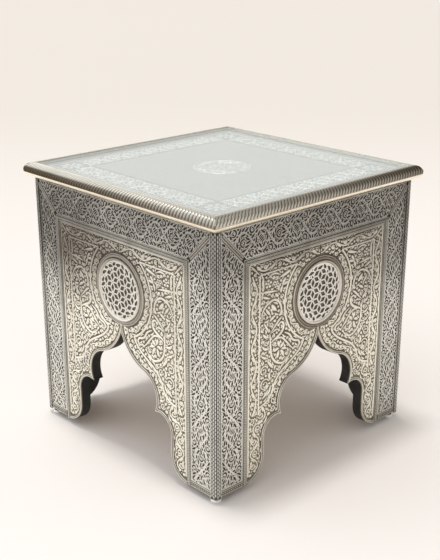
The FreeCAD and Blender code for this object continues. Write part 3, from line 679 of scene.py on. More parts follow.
def circles_meet(one: Point, one_radius: float, other: Point, other_radius: float) -> Point:
    """Find where two circles meet.

    Args:
        one: Middle of the first circle.
        one_radius: Its radius.
        other: Middle of the second circle.
        other_radius: Its radius.

    Returns:
        The meeting point that lies further to the right.
    """
    apart = math.dist(one, other)
    along = (one_radius ** 2 - other_radius ** 2 + apart ** 2) / (2 * apart)
    off = math.sqrt(max(0.0, one_radius ** 2 - along ** 2))
    unit = ((other[0] - one[0]) / apart, (other[1] - one[1]) / apart)
    foot = (one[0] + along * unit[0], one[1] + along * unit[1])
    return max((foot[0] - s * off * unit[1], foot[1] + s * off * unit[0]) for s in (1, -1))


@dataclass(frozen=True)
class ArchEdge:
    """Right half of the arch as the solids have it, in millimetres across and up.

    Its template is a reverse curve below the point, an upper lobe, a cusp, a lower lobe and a flared foot.
    """

    foot: float
    side: float
    point: float
    flare: float
    template_rise: float = 226.0
    ogee_radius: float = 90.0
    cusp_height: float = 105.5
    cusp_reach: float = 42.0
    lobe_reach: float = 39.0
    lobe_lift: float = 22.5
    foil_radius: float = 30.0

    @property
    def fit(self) -> float:
        """Scale from the template to this arch."""
        return (self.point - self.foot) / self.template_rise

    @property
    def cusp(self) -> Point:
        """Point where the two lobes meet."""
        return self.side - self.cusp_reach * self.fit, self.foot + self.cusp_height * self.fit

    @property
    def lobe_middle(self) -> Point:
        """Middle of the upper lobe."""
        return self.cusp[0] - self.lobe_reach * self.fit, self.cusp[1] + self.lobe_lift * self.fit

    @property
    def lobe(self) -> float:
        """Radius of the upper lobe."""
        return math.dist(self.cusp, self.lobe_middle)

    @property
    def foil(self) -> float:
        """Radius of the lower lobe."""
        return self.foil_radius * self.fit

    @property
    def foil_middle(self) -> Point:
        """Middle of the lower lobe."""
        level = self.side - self.foil
        return level, self.cusp[1] - math.sqrt(self.foil ** 2 - (self.cusp[0] - level) ** 2)

    @property
    def ogee(self) -> float:
        """Radius of the reverse curve."""
        return self.ogee_radius * self.fit

    @property
    def ogee_middle(self) -> Point:
        """Middle of the reverse curve, which touches the upper lobe and passes through the point."""
        return circles_meet(self.lobe_middle, self.lobe + self.ogee, (0.0, self.point), self.ogee)

    def ogee_arc(self, outset: float, stop: float = 0.0) -> Array:
        """Sample the reverse curve from the top down to the upper lobe.

        Args:
            outset: How far it is moved away from the opening.
            stop: Distance off the axis where it starts.

        Returns:
            Sampled points.
        """
        middle, radius = self.ogee_middle, self.ogee - outset
        start = 360 - math.degrees(math.acos(max(-1.0, (stop - middle[0]) / radius)))
        return arc(middle, radius, start, angle_to(middle, self.lobe_middle) % 360)

    def lobe_arc(self, outset: float, end: float | None = None) -> Array:
        """Sample the upper lobe from the reverse curve down.

        Args:
            outset: How far it is moved away from the opening.
            end: Angle in degrees where it ends, if that isn't the cusp.

        Returns:
            Sampled points.
        """
        middle = self.lobe_middle
        if end is None:
            end = angle_to(middle, self.corner(outset))
        return arc(middle, self.lobe + outset, angle_to(middle, self.ogee_middle), end)

    def corner(self, outset: float) -> Point:
        """Return where the two lobes meet when both are moved out."""
        return circles_meet(self.foil_middle, self.foil + outset, self.lobe_middle, self.lobe + outset)

    def edge(self, outset: float, end_side: float) -> Array:
        """Sample the whole edge from the arch's point down to the foot.

        Args:
            outset: How far it is moved away from the opening.
            end_side: Distance from the middle where the flare ends.

        Returns:
            Sampled points.
        """
        foil = self.foil_middle
        flare, radius = (self.side + self.flare, self.foot + self.flare), self.flare - outset
        last = 180 + math.degrees(math.acos(max(-1.0, min(1.0, (flare[0] - end_side) / radius))))
        leg = self.side + outset
        return np.vstack([
            self.ogee_arc(outset), self.lobe_arc(outset)[1:],
            arc(foil, self.foil + outset, angle_to(foil, self.corner(outset)), 0)[1:],
            straight((leg, foil[1]), (leg, flare[1]), 13)[1:], arc(flare, radius, 180, last)[1:]])


@dataclass(frozen=True)
class SidePlan:
    """Where the parts of one side lie, in millimetres across from the middle and up from the floor."""

    face: float
    corner: float
    stile_inner: float
    panel_side: float
    panel_top: float
    panel_foot: float
    rail_bottom: float
    rail_top: float
    mitre_top: float
    shoe_top: float
    medallion_height: float
    medallion_radius: float
    arch: ArchEdge


class RunningVine:
    """A waving stem with a scroll in each bend, the pattern of the narrow bands."""

    def __init__(self, pitch: float, half: float, height: float, stem: float, leafy: bool = False) -> None:
        """Draw one period of the vine along a level band.

        Args:
            pitch: Half a period, from one bend to the next.
            half: Half height of the band.
            height: Height of the lines.
            stem: Width of the stem.
            leafy: Whether a long leaf crosses between two scrolls.
        """
        self.period = 2 * pitch
        self.cell = Tracery(height)
        swing = half - stem * 0.75
        along = np.linspace(-pitch, pitch, max(17, int(pitch * 1.3)))
        self.cell.line(np.column_stack([along, swing * np.sin(np.pi * along / pitch)]), stem)
        for k, way in ((0, 1), (1, -1)):
            bend = pitch * (0.5 - k)
            start = 150 + 180 * (1 - k)
            self.cell.scroll((bend, -way * half * 0.12), half * 0.52, start, -430 * way, stem * 0.95)
            if leafy:
                shares = ((0.28, 0.1), (0.5, -0.25), (0.62, -0.78))
                self.cell.leaf([(bend + pitch * a, way * half * b) for a, b in shares], stem * 1.7)
        GapFiller.along_band(pitch, half, 0.4).fill(self.cell, 1.9, 1.8, 0.85)

    def along(self, path: Array, phase: float = 0.0) -> Tracery:
        """Lay the vine along a path.

        Args:
            path: Middle of the band.
            phase: How far it is shifted, in millimetres.

        Returns:
            Tracery of the whole band.
        """
        ribbon = Ribbon(path)
        whole = Tracery(self.cell.height)
        for k in range(-1, math.ceil(ribbon.length / self.period) + 2):
            shift = (k * self.period + phase, 0.0)
            level = Tracery(self.cell.height)
            level.place(self.cell, lambda points: points + shift,
                        lambda points: (points[:, 0] > 0.6) & (points[:, 0] < ribbon.length - 0.6))
            whole.place(level, ribbon.lay)
        return whole


@dataclass(frozen=True)
class LineDesign:
    """A bold scroll stem: the points it passes through and its width, in millimetres."""

    points: tuple[Point, ...]
    width: float


@dataclass(frozen=True)
class LeafDesign:
    """A bold leaf: its midrib, its width and where along it that is."""

    points: tuple[Point, ...]
    width: float
    fullest: float = 0.5


@dataclass(frozen=True)
class FlowerDesign:
    """A flower: its middle, reach, petals and turn in degrees."""

    middle: Point
    radius: float
    petals: int
    turn: float = 0.0


@dataclass(frozen=True)
class CurlDesign:
    """A spiral: its middle, radius, outer angle and winding in degrees, and width."""

    middle: Point
    radius: float
    start: float
    turn: float
    width: float = 2.6


# Bold line above the arch: right half, from the ring's cusp towards the border
ARCH_LINE = ((40, 227), (50, 217), (65, 207), (83, 197), (95, 188), (104, 176), (109, 163), (115, 154),
             (126, 147.5))
# Bold work between medallion, arch and border: right half, across from the middle and up from the floor
SPANDREL_LINES = (
    LineDesign(((135, 303), (131, 313), (122.5, 321), (107.5, 325), (95.5, 318), (90, 306), (93, 296)), 3.0),
    LineDesign(((116, 268), (114.5, 257), (113, 236), (109, 224), (100, 214), (86, 209), (74, 214),
                (66, 223)), 3.0),
    LineDesign(((112, 252), (103, 256), (88, 254), (77, 244), (68, 234), (60, 227)), 2.6),
    LineDesign(((110.5, 254), (100, 258), (90, 263.5), (84.5, 271), (85, 279), (91, 282), (96, 278.5)), 3.4),
    LineDesign(((82, 262), (75, 258.5), (69, 254), (62, 244), (55, 240), (48, 238), (45, 232), (50, 227),
                (57, 229)), 2.8),
)
SPANDREL_LEAVES = (
    LeafDesign(((116, 268), (104, 279), (94, 288), (86.5, 292)), 3.6, 0.7),
    LeafDesign(((113, 268), (103, 272), (92.5, 270.5)), 3.0),
    LeafDesign(((117, 263), (126, 265.5), (132, 272)), 4.2),
    LeafDesign(((116, 243), (126, 244), (133.5, 251)), 4.2),
    LeafDesign(((121, 227), (128, 229), (134, 234)), 4.0),
    LeafDesign(((117, 270), (124, 281), (130, 291)), 3.6),
    LeafDesign(((113, 318), (108, 311), (101, 305)), 6.4),
    LeafDesign(((126, 314), (121, 307), (115, 300)), 4.2),
    LeafDesign(((117, 290), (111, 294), (103, 298)), 4.6),
    LeafDesign(((130, 293), (124, 291), (118, 294)), 3.6),
    LeafDesign(((93, 239), (94.5, 245), (97, 251)), 5.0),
    LeafDesign(((94, 237), (100, 237), (106, 234)), 5.0),
    LeafDesign(((91, 237), (87, 241), (82, 246)), 5.0),
    LeafDesign(((94, 234), (96, 228), (98, 220)), 5.4),
    LeafDesign(((91, 233), (86, 228), (82, 219)), 5.4),
    LeafDesign(((89, 235), (82, 234), (75, 231)), 4.6),
    LeafDesign(((121, 222), (114, 214), (107, 205)), 4.6),
    LeafDesign(((113, 202), (116, 194), (113, 185)), 4.2),
    LeafDesign(((118, 171), (124, 163), (132, 157)), 4.2),
    LeafDesign(((112, 177), (115, 167), (122, 159)), 3.6),
    LeafDesign(((132, 369), (133, 359), (131, 347)), 4.6),
    LeafDesign(((123, 364), (114, 369), (104, 369), (93, 364)), 3.2),
    LeafDesign(((97, 360), (85, 362.5), (70, 367)), 4.8, 0.75),
    LeafDesign(((89, 346), (86, 351), (81, 357)), 4.4, 0.7),
    LeafDesign(((89, 346), (83, 347), (76, 349)), 4.4, 0.7),
    LeafDesign(((92, 333), (91, 340), (88, 346)), 4.2),
    LeafDesign(((134, 343), (122, 341.5), (110, 340), (99, 338)), 4.0, 0.3),
    LeafDesign(((134, 336), (125, 332), (116, 329)), 3.8, 0.35),
    LeafDesign(((105, 335), (101, 331), (97, 329)), 5.0),
)
SPANDREL_FLOWERS = (
    FlowerDesign((133.5, 301.5), 6.0, 5),
    FlowerDesign((121, 227), 7.0, 5, 18),
    FlowerDesign((121, 355), 8.0, 5, 90),
    FlowerDesign((103, 350.5), 6.6, 6),
)
SPANDREL_CURLS = (
    CurlDesign((128.5, 206.5), 8.5, 130, -430),
    CurlDesign((126.5, 181), 10.5, 150, -470),
    CurlDesign((88.5, 327), 4.2, 250, 400, 2.2),
)


@dataclass(frozen=True)
class PanelDesign:
    """Draws the raised lines of one panel, in millimetres across from the middle and up.

    A vine runs between two border lines down to leg_join. A bold circle of ring_reach rings the medallion
    down to cusp_side, where a bold line starts that follows the arch. Shares widen what is drawn one by one.
    """

    plan: SidePlan
    height: float = 1.3
    edge_line: float = 3.0
    band: float = 23.0
    line: float = 3.6
    scroll_share: float = 1.55
    leaf_share: float = 1.3
    ring_reach: float = 82.5
    arch_band: float = 24.0
    leg_join: float = 143.0
    leg_lap: float = 12.0
    lobe_end: float = 33.0
    cusp_side: float = 35.0
    bare: float = 1.8
    trim: float = 5.8
    band_pitch: float = 32.0
    ring_pitch: float = 15.0
    arch_pitch: float = 23.0

    @property
    def outer(self) -> float:
        """Distance of the outer border line from the middle."""
        return self.plan.panel_side - self.edge_line

    @property
    def inner(self) -> float:
        """Distance of the inner border line from the middle."""
        return self.outer - self.band

    @property
    def top(self) -> float:
        """Height of the outer border line along the top."""
        return self.plan.panel_top - 1.5

    @property
    def inner_top(self) -> float:
        """Height of the inner border line along the top."""
        return self.top - self.band + 1.0

    @property
    def ring_middle(self) -> Point:
        """Middle of the medallion."""
        return 0.0, self.plan.medallion_height

    @property
    def ring_start(self) -> float:
        """Angle in degrees where the bold circle leaves the inner border line."""
        return math.degrees(math.asin((self.inner_top - self.plan.medallion_height) / self.ring_reach))

    @property
    def ring_cusp(self) -> Point:
        """Point where the bold circle meets the bold line along the arch, on the right."""
        drop = math.sqrt(self.ring_reach ** 2 - self.cusp_side ** 2)
        return self.cusp_side, self.plan.medallion_height - drop

    def ring_arc(self, radius: float, short: float = 0.0) -> Array:
        """Sample a circle round the medallion from the border line to the cusp, less some degrees."""
        end = angle_to(self.ring_middle, self.ring_cusp) - short
        return arc(self.ring_middle, radius, self.ring_start, end)

    def bold_lines(self) -> Tracery:
        """Draw the bright border lines and the bold curve round the medallion and arch.

        Returns:
            Tracery of the right half.
        """
        half = Tracery(self.height * 1.15)
        corner, inner_corner = (self.outer, self.top), (self.inner, self.inner_top)
        turn_in = self.ring_reach * math.cos(math.radians(self.ring_start))
        for start, end, count in (((self.outer, self.plan.panel_foot + 10), corner, 40),
                                  (corner, (0, self.top), 24),
                                  ((self.inner, self.leg_join - self.leg_lap), inner_corner, 30),
                                  (inner_corner, (turn_in, self.inner_top), 14)):
            half.line(straight(start, end, count), self.line)
        for path in (self.ring_arc(self.ring_reach), self.arch_line()):
            half.line(path, self.line * 1.2)
        half.leaf(((self.outer - 1, self.top - 1), (self.outer - 9, self.top - 8.5), inner_corner), 4.0)
        return half

    def arch_line(self) -> Array:
        """Return the bold line that follows the arch from the ring's cusp to the border, right half."""
        return spline((self.ring_cusp, *ARCH_LINE, (self.inner, self.leg_join)))

    def border_bands(self) -> Tracery:
        """Draw the running vine between the two border lines.

        Returns:
            Tracery of the right half.
        """
        half = Tracery(self.height)
        middle = (self.outer + self.inner) / 2
        level = (self.top + self.inner_top) / 2
        vine = RunningVine(self.band_pitch, (self.band - self.line) / 2 - self.bare, self.height, 3.4, True)
        upright = straight((middle, self.leg_join - self.leg_lap), (middle, level - 3), 60)
        across = straight((0, level), (middle - 3, level), 40)
        half.place(vine.along(upright, 8.0),
                   inside=lambda path: path[:, 1] - level < middle - path[:, 0] - 3)
        half.place(vine.along(across, self.band_pitch / 2),
                   inside=lambda path: path[:, 1] - level > path[:, 0] - middle + 3)
        return half

    def ring_band(self) -> Tracery:
        """Draw the small scrolls round the medallion.

        Returns:
            Tracery of the right half.
        """
        inner = self.plan.medallion_radius + self.bare
        outer = self.ring_reach - self.line * 0.6 - self.bare
        vine = RunningVine(self.ring_pitch, (outer - inner) / 2, self.height * 0.9, 2.7)
        return vine.along(self.ring_arc((inner + outer) / 2, 4))

    def arch_scrolls(self) -> Tracery:
        """Draw the small scrolls between the arch's trim and the bold line above it.

        Returns:
            Tracery of the right half.
        """
        arch = self.plan.arch
        inner, outer = self.trim + self.bare / 2, self.arch_band - self.line * 0.6 - self.bare
        vine = RunningVine(self.arch_pitch, (outer - inner) / 2, self.height * 0.9, 2.7)
        offset = (inner + outer) / 2
        return vine.along(np.vstack([arch.ogee_arc(offset, 10.0), arch.lobe_arc(offset, self.lobe_end)[1:]]))

    def leg_outline(self) -> Array:
        """Draw round the leg's field.

        Returns:
            Outline of the right half.
        """
        arch = self.plan.arch
        tail = self.arch_line()
        tail = tail[tail[:, 1] < arch.lobe_arc(self.arch_band, self.lobe_end)[-1, 1]]
        bend = len(arch.ogee_arc(self.trim)) + len(arch.lobe_arc(self.trim, self.lobe_end)) - 1
        edge = arch.edge(self.trim, self.plan.panel_side - 1.0)[bend:]
        join = self.leg_join - self.leg_lap
        side = [(self.outer, max(edge[-1, 1], self.plan.panel_foot)), (self.outer, join), (self.inner, join)]
        return np.vstack([edge, side, tail[::-1]])

    def leg_field(self) -> Tracery:
        """Draw the scrolls of one leg.

        Returns:
            Tracery of the right half.
        """
        half = Tracery(self.height)
        outline = self.leg_outline()
        middle = (self.plan.arch.side + self.trim + self.outer) / 2
        stem = spline(((middle + 5, self.plan.panel_foot + 14), (middle, 52), (middle, 90),
                       (middle - 12, 122), (middle - 26, 150)))
        vine = RunningVine(self.arch_pitch, 12.0, self.height, 3.3, True)
        half.place(vine.along(stem), inside=lambda path: inside_outline(path, outline, 1.6))
        GapFiller.within(outline, COARSE_STEP).fill(half, 2.0, 1.9, 0.85)
        return half

    def spandrel(self) -> Tracery:
        """Draw the bold scrolls of the field between medallion, arch and border.

        Returns:
            Tracery of the right half.
        """
        half = Tracery(self.height * 1.2)
        for line in SPANDREL_LINES:
            half.line(spline(line.points), line.width * self.scroll_share, 0.5)
            half.boss(line.points[-1], line.width * 0.95)
        for leaf in SPANDREL_LEAVES:
            half.leaf(leaf.points, leaf.width * self.leaf_share, leaf.fullest)
        for flower in SPANDREL_FLOWERS:
            half.blossom(flower.middle, flower.radius, flower.petals, flower.turn)
        for curl in SPANDREL_CURLS:
            half.scroll(curl.middle, curl.radius, curl.start, curl.turn, curl.width * 1.2)
        corner = (self.inner, self.inner_top)
        filler = GapFiller.within(np.vstack([corner, self.ring_arc(self.ring_reach), self.arch_line()[1:]]),
                                  COARSE_STEP)
        filler.block(self.bold_lines().samples())
        filler.fill(half, 2.0, 1.9, 0.8)
        return half

    def panel_outline(self) -> Array:
        """Draw round the whole relief, with the medallion left out.

        Returns:
            Outline of the right half.
        """
        ring = arc(self.ring_middle, self.plan.medallion_radius + self.bare, 90, -90)
        edge = self.plan.arch.edge(self.trim, self.plan.panel_side - 1.0)
        return np.vstack([ring, edge, (self.outer, edge[-1, 1] + 2), (self.outer, self.top), (0.0, self.top)])

    def whole(self) -> Tracery:
        """Draw every raised line of the panel.

        Returns:
            Tracery of both halves.
        """
        half = Tracery(self.height)
        for part in (self.bold_lines(), self.border_bands(), self.ring_band(), self.arch_scrolls(),
                     self.leg_field(), self.spandrel()):
            half.place(part)
        GapFiller.within(self.panel_outline(), COARSE_STEP).fill(half, 2.0, 1.9, 0.8)
        return half.mirrored()


class Relief:
    """Gathers the faces of one piece, in millimetres, and turns them into a Blender object."""

    section = np.array(((-1.0, 0.0), (-0.66, 0.74), (0.0, 1.0), (0.66, 0.74), (1.0, 0.0)))
    dot_corners = 9
    faintest = 0.2
    plate_crest = 0.85
    sharp_angle = 52.0

    def __init__(self) -> None:
        """Start with no faces."""
        self.points: list[Array] = []
        self.crests: list[Array] = []
        self.faces: list[tuple[int, ...]] = []
        self.count = 0

    def add(self, points: Array, faces: Sequence[tuple[int, ...]], crest: Array | float) -> None:
        """Add a patch of faces.

        Args:
            points: Its corners, one row each.
            faces: Corner numbers of each face.
            crest: How worn and bright each corner is, from 0 in a recess to 1 on a crest; on the rim and
                the lip it also carries painted light and shade.
        """
        start = self.count
        self.points.append(points)
        self.crests.append(np.broadcast_to(crest, len(points)))
        self.faces.extend(tuple(start + k for k in face) for face in faces)
        self.count += len(points)

    def grid(self, points: Array, crest: Array, along: bool = False) -> None:
        """Add a tube of quads.

        Args:
            points: Rows by columns by three; the last column joins the first.
            crest: How worn and bright each point is, for all or for a row.
            along: Whether the last row joins the first, instead of both being capped.
        """
        rows, columns = points.shape[:2]
        number = np.arange(rows * columns).reshape(rows, columns)
        number = np.hstack([number, number[:, :1]])
        if along:
            number = np.vstack([number, number[:1]])
        quads = np.stack([number[:-1, :-1], number[:-1, 1:], number[1:, 1:], number[1:, :-1]], -1)
        faces = [tuple(quad) for quad in quads.reshape(-1, 4).tolist()]
        if not along:
            faces += [tuple(range(columns - 1, -1, -1)), tuple(range((rows - 1) * columns, rows * columns))]
        self.add(points.reshape(-1, 3), faces, np.broadcast_to(crest, (rows, columns)).ravel())

    def laid(self, flat: Array, height: Array, crest: Array, lay: Lay,
             along: bool = False) -> None:
        """Add a tube of quads that is laid on a side.

        Args:
            flat: Rows by columns of points across and up.
            height: Height of each point, for all or for a row.
            crest: How worn and bright each point is, for all or for a row.
            lay: Puts points with their heights on the side.
            along: Whether the last row joins the first.
        """
        shape = flat.shape[:2]
        points = lay(flat.reshape(-1, 2), np.broadcast_to(height, shape).ravel())
        self.grid(points.reshape(*shape, 3), crest, along)

    def stroke(self, stroke: Stroke, lay: Lay) -> None:
        """Raise one line as a closed ridge.

        Args:
            stroke: The line.
            lay: Puts points with their heights on the side.
        """
        across, rise = self.section.T
        normal = headings(stroke.path)[1]
        offset = across * stroke.half_width[:, None]
        flat = stroke.path[:, None, :] + normal[:, None, :] * offset[..., None]
        height = rise * (stroke.height[:, None] + SINK) - SINK
        crest = rise * np.clip(stroke.height[:, None] / FULL_HEIGHT, self.faintest, 1.0)
        self.laid(flat, height, crest, lay)

    def boss(self, boss: Boss, lay: Lay) -> None:
        """Raise one dot as a low dome.

        Args:
            boss: The dot.
            lay: Puts points with their heights on the side.
        """
        corners = self.dot_corners
        angles = np.linspace(0, 2 * np.pi, corners, endpoint=False)
        ring = polar((0.0, 0.0), boss.radius, angles)
        middle = np.array(boss.middle)
        flat = np.vstack([middle + ring, middle + ring * 0.68, middle[None]])
        rows = (corners, corners, 1)
        height = np.repeat((-SINK, boss.height * 0.74, boss.height), rows)
        faces: list[tuple[int, ...]] = [tuple(range(corners - 1, -1, -1))]
        for k in range(corners):
            after = (k + 1) % corners
            faces.append((k, after, corners + after, corners + k))
            faces.append((corners + k, corners + after, 2 * corners))
        crest = np.repeat((0.0, 0.75, 1.0), rows)
        self.add(lay(flat, height), faces, crest * min(1.0, max(self.faintest, boss.height / FULL_HEIGHT)))

    def tracery(self, tracery: Tracery, lay: Lay) -> None:
        """Raise every line and dot of a field.

        Args:
            tracery: The field.
            lay: Puts points with their heights on the side.
        """
        for stroke in tracery.strokes:
            self.stroke(stroke, lay)
        for boss in tracery.bosses:
            self.boss(boss, lay)

    def pierced(self, outline: Array, openings: Sequence[Stroke], height: float, lay: Lay) -> None:
        """Raise a flat plate with rounded leaf-shaped openings down to the ground.

        Args:
            outline: Corners of the plate.
            openings: Lines whose width is cut out.
            height: Height of the plate's top.
            lay: Puts points with their heights on the side.
        """
        crown = [outward(outline, 0.0), *(stroke_outline(s, 0.3) for s in openings)]
        base = np.vstack([outward(outline, 0.35), *(stroke_outline(s, -0.1) for s in openings)])
        numbers, start = [], 0
        for loop in crown:
            numbers.append(list(range(start, start + len(loop))))
            start += len(loop)
        found = delaunay_2d_cdt([Vector(p) for p in np.vstack(crown).tolist()], [], numbers, 1, 1e-5)
        plate = np.array([tuple(v) for v in found[0]])
        lower = plate.copy()
        for k, origin in enumerate(found[3]):
            if origin:
                lower[k] = base[origin[0]]
        faces = [tuple(f) for f, owners in zip(found[2], found[5]) if owners == [0]]
        size = len(plate)
        edges = {edge for face in faces for edge in zip(face, face[1:] + face[:1])}
        walls = [(b, a, a + size, b + size) for a, b in sorted(edges) if (b, a) not in edges]
        under = [tuple(k + size for k in reversed(face)) for face in faces]
        heights = np.repeat((height, -SINK), size)
        self.add(lay(np.vstack([plate, lower]), heights), faces + walls + under,
                 np.repeat((self.plate_crest, 0.0), size))

    def make(self, name: str, turn: float) -> bpy.types.Object:
        """Make the Blender object.

        Args:
            name: Name of the piece.
            turn: Turn about the upright axis, in degrees.

        Returns:
            The object, in metres.
        """
        points = np.vstack(self.points) * MM
        cosine, sine = direction(math.radians(turn))
        spin = np.array([[cosine, sine, 0], [-sine, cosine, 0], [0, 0, 1]])
        mesh = bpy.data.meshes.new(name)
        mesh.from_pydata((points @ spin).tolist(), [], self.faces)
        mesh.polygons.foreach_set("use_smooth", np.ones(len(mesh.polygons), bool))
        crest = mesh.attributes.new("crest", "FLOAT", "POINT")
        crest.data.foreach_set("value", np.concatenate(self.crests).astype(np.float32))
        mesh.validate()
        mesh.set_sharp_from_angle(angle=math.radians(self.sharp_angle))
        piece = bpy.data.objects.new(name, mesh)
        bpy.context.scene.collection.objects.link(piece)
        return piece


def stroke_outline(stroke: Stroke, grow: float) -> Array:
    """Draw round a line.

    Args:
        stroke: The line.
        grow: How far outside its edge.

    Returns:
        Closed outline, turning anticlockwise.
    """
    slope, normal = headings(stroke.path)
    reach = np.maximum(stroke.half_width + grow, 0.08)[:, None]
    path = stroke.path.copy()
    path[0] -= slope[0] * max(grow, 0.0) * 0.6
    path[-1] += slope[-1] * max(grow, 0.0) * 0.6
    return np.vstack([path - normal * reach, (path + normal * reach)[::-1]])


def outward(corners: Array, grow: float) -> Array:
    """Return the corners of an outline moved away from its middle, across and up."""
    away = corners - corners.mean(axis=0)
    return corners.mean(axis=0) + away + np.sign(away) * grow


def side_lay(face: float) -> Lay:
    """Return the function that lays points on the front side at this distance from the middle."""
    return lambda flat, height: np.column_stack([flat[:, 0], -(face + height), flat[:, 1]])


Colour = tuple[int, int, int]


def paint(colour: Colour) -> tuple[float, ...]:
    """Turn a colour as a screen shows it, 0 to 255, into the light values that shaders use."""
    shares = [value / 255 for value in colour]
    return *(s / 12.92 if s <= 0.04045 else ((s + 0.055) / 1.055) ** 2.4 for s in shares), 1.0


class Nodes:
    """Adds nodes to one shader tree and links them."""

    def __init__(self, tree: bpy.types.NodeTree) -> None:
        """Work on this tree."""
        self.tree = tree

    def put(self, socket: Socket, value: object) -> None:
        """Link a socket from another one, or set its value.

        Args:
            socket: The socket.
            value: What goes in; a whole-numbered colour is turned into light.
        """
        if isinstance(value, Socket):
            self.tree.links.new(value, socket)
        else:
            socket.default_value = paint(value) if socket.type == "RGBA" else value

    def add(self, kind: str, values: dict[str, object] | None = None, **settings: object) -> bpy.types.Node:
        """Add a node.

        Args:
            kind: Blender's type name for it.
            values: Input values, or sockets to link from, by input name or number.
            settings: Properties of the node.

        Returns:
            The node.
        """
        node = self.tree.nodes.new(kind)
        for name, value in settings.items():
            setattr(node, name, value)
        for name, value in (values or {}).items():
            self.put(node.inputs[name], value)
        return node

    def feed(self, name: str, value: object) -> None:
        """Put a value or socket into an input of the material's shader."""
        self.put(self.tree.nodes["Principled BSDF"].inputs[name], value)

    def place(self) -> Socket:
        """Return the place on the object, in metres."""
        return self.add("ShaderNodeTexCoord").outputs["Object"]

    def axes(self, vector: Socket) -> bpy.types.bpy_prop_collection:
        """Return a vector's three parts."""
        return self.add("ShaderNodeSeparateXYZ", {0: vector}).outputs

    def noise(self, vector: object, scale: object, detail: float, **more: float) -> Socket:
        """Return a noise of this scale and detail."""
        values = {"Vector": vector, "Scale": scale, "Detail": detail, **more}
        return self.add("ShaderNodeTexNoise", values).outputs["Fac"]

    def math(self, operation: str, one: object, other: object = 0.0, last: object = 0.0,
             clamp: bool = False) -> Socket:
        """Add a math node and return its output."""
        values = {0: one, 1: other, 2: last}
        return self.add("ShaderNodeMath", values, operation=operation, use_clamp=clamp).outputs[0]

    def blend(self, share: object, one: object, other: object) -> Socket:
        """Mix two colours and return the result."""
        values = {0: share, 6: one, 7: other}
        return self.add("ShaderNodeMix", values, data_type="RGBA").outputs[2]

    def ramp(self, value: object, low: float, high: float, to_low: float = 0.0,
             to_high: float = 1.0) -> Socket:
        """Stretch a value smoothly from one range to another and return it."""
        values = {0: value, 1: low, 2: high, 3: to_low, 4: to_high}
        return self.add("ShaderNodeMapRange", values, interpolation_type="SMOOTHSTEP").outputs[0]

    def between(self, share: object, ends: tuple[float, float]) -> Socket:
        """Return the value at a share of the way between two."""
        values = {0: share, 1: 0.0, 2: 1.0, 3: ends[0], 4: ends[1]}
        return self.add("ShaderNodeMapRange", values, interpolation_type="LINEAR").outputs[0]

    def patina(self, cloud: float = 9.0) -> bpy.types.bpy_prop_collection:
        """Return the outputs of the group of patina and painted shade, with patches of this noise scale."""
        values = {"Vector": self.place(), "Cloud": cloud}
        return self.add("ShaderNodeGroup", values, node_tree=patina_and_shade_group()).outputs

    def bump(self, height: Socket, strength: float, distance: float = 0.0005) -> None:
        """Roughen the material's shader by a height, in metres."""
        values = {"Strength": strength, "Distance": distance, "Height": height}
        self.feed("Normal", self.add("ShaderNodeBump", values).outputs["Normal"])


def patina_and_shade_group() -> bpy.types.NodeTree:
    """Make the group that clouds metal with uneven tarnish and painted shade, once.

    Returns:
        Group with tarnished patches, fine speckle, a hammered height and painted shade on the upper far ends.
    """
    tree = bpy.data.node_groups.get("patina")
    if tree:
        return tree
    tree = bpy.data.node_groups.new("patina", "ShaderNodeTree")
    tree.interface.new_socket("Vector", in_out="INPUT", socket_type="NodeSocketVector")
    for label, value in (("Cloud", 9.0), ("Speckle", 420.0)):
        tree.interface.new_socket(label, in_out="INPUT", socket_type="NodeSocketFloat").default_value = value
    for label in ("Tarnish", "Speckle", "Hammer", "Dull"):
        tree.interface.new_socket(label, in_out="OUTPUT", socket_type="NodeSocketFloat")
    nodes = Nodes(tree)
    given = nodes.add("NodeGroupInput").outputs
    place = given["Vector"]
    cloud = nodes.noise(place, given["Cloud"], 5.0, Roughness=0.62, Distortion=0.4)
    patch = nodes.noise(place, nodes.math("MULTIPLY", given["Cloud"], 5.0), 3.0)
    both = nodes.math("MULTIPLY_ADD", cloud, 0.65, nodes.math("MULTIPLY", patch, 0.35))
    grain = nodes.noise(place, given["Speckle"], 2.0)
    pitted = nodes.math("MULTIPLY", given["Speckle"], 0.55)
    dents = nodes.add("ShaderNodeTexVoronoi", {"Vector": place, "Scale": pitted}, feature="SMOOTH_F1")
    hammer = nodes.math("MULTIPLY_ADD", dents.outputs["Distance"], 0.6, nodes.math("MULTIPLY", grain, 0.4))
    # Painted shade: upper parts darken, most at the ends far from the view, and the far rail and the back more
    axes = nodes.axes(place)
    level = nodes.math("MULTIPLY_ADD", nodes.math("SUBTRACT", cloud, 0.5), 0.1, axes["Z"])
    across = nodes.math("MULTIPLY_ADD", axes["X"], -1.3, nodes.math("MULTIPLY", axes["Y"], 0.7))
    away = nodes.ramp(across, -0.42, 0.0, 0.2, 1.0)
    sides = nodes.math("MULTIPLY", nodes.ramp(level, 0.22, 0.37), away)
    upper = nodes.math("MAXIMUM", sides, nodes.ramp(level, 0.32, 0.42, 0.0, 0.85))
    far = nodes.ramp(axes["Y"], -0.1, 0.08)
    rail = nodes.math("MULTIPLY", nodes.ramp(axes["Z"], 0.39, 0.41, 0.0, 0.3), far)
    rear = nodes.math("MAXIMUM", rail, nodes.ramp(axes["Y"], 0.16, 0.18, 0.0, 0.2))
    nodes.add("NodeGroupOutput", {
        "Tarnish": nodes.ramp(both, 0.36, 0.68), "Speckle": nodes.ramp(grain, 0.3, 0.7), "Hammer": hammer,
        "Dull": nodes.math("ADD", upper, rear, clamp=True)})
    return tree


@dataclass(frozen=True)
class Finish:
    """A finish, whose material has this name and is made once."""

    name: str

    def material(self) -> bpy.types.Material:
        """Make the material when it is first asked for.

        Returns:
            The material.
        """
        material = bpy.data.materials.get(self.name)
        if material is None:
            material = bpy.data.materials.new(self.name)
            material.use_nodes = True
            self.shade(Nodes(material.node_tree))
        return material

    def shade(self, nodes: Nodes) -> None:
        """Dress the material's shader; each kind of finish has its own way."""
        raise NotImplementedError


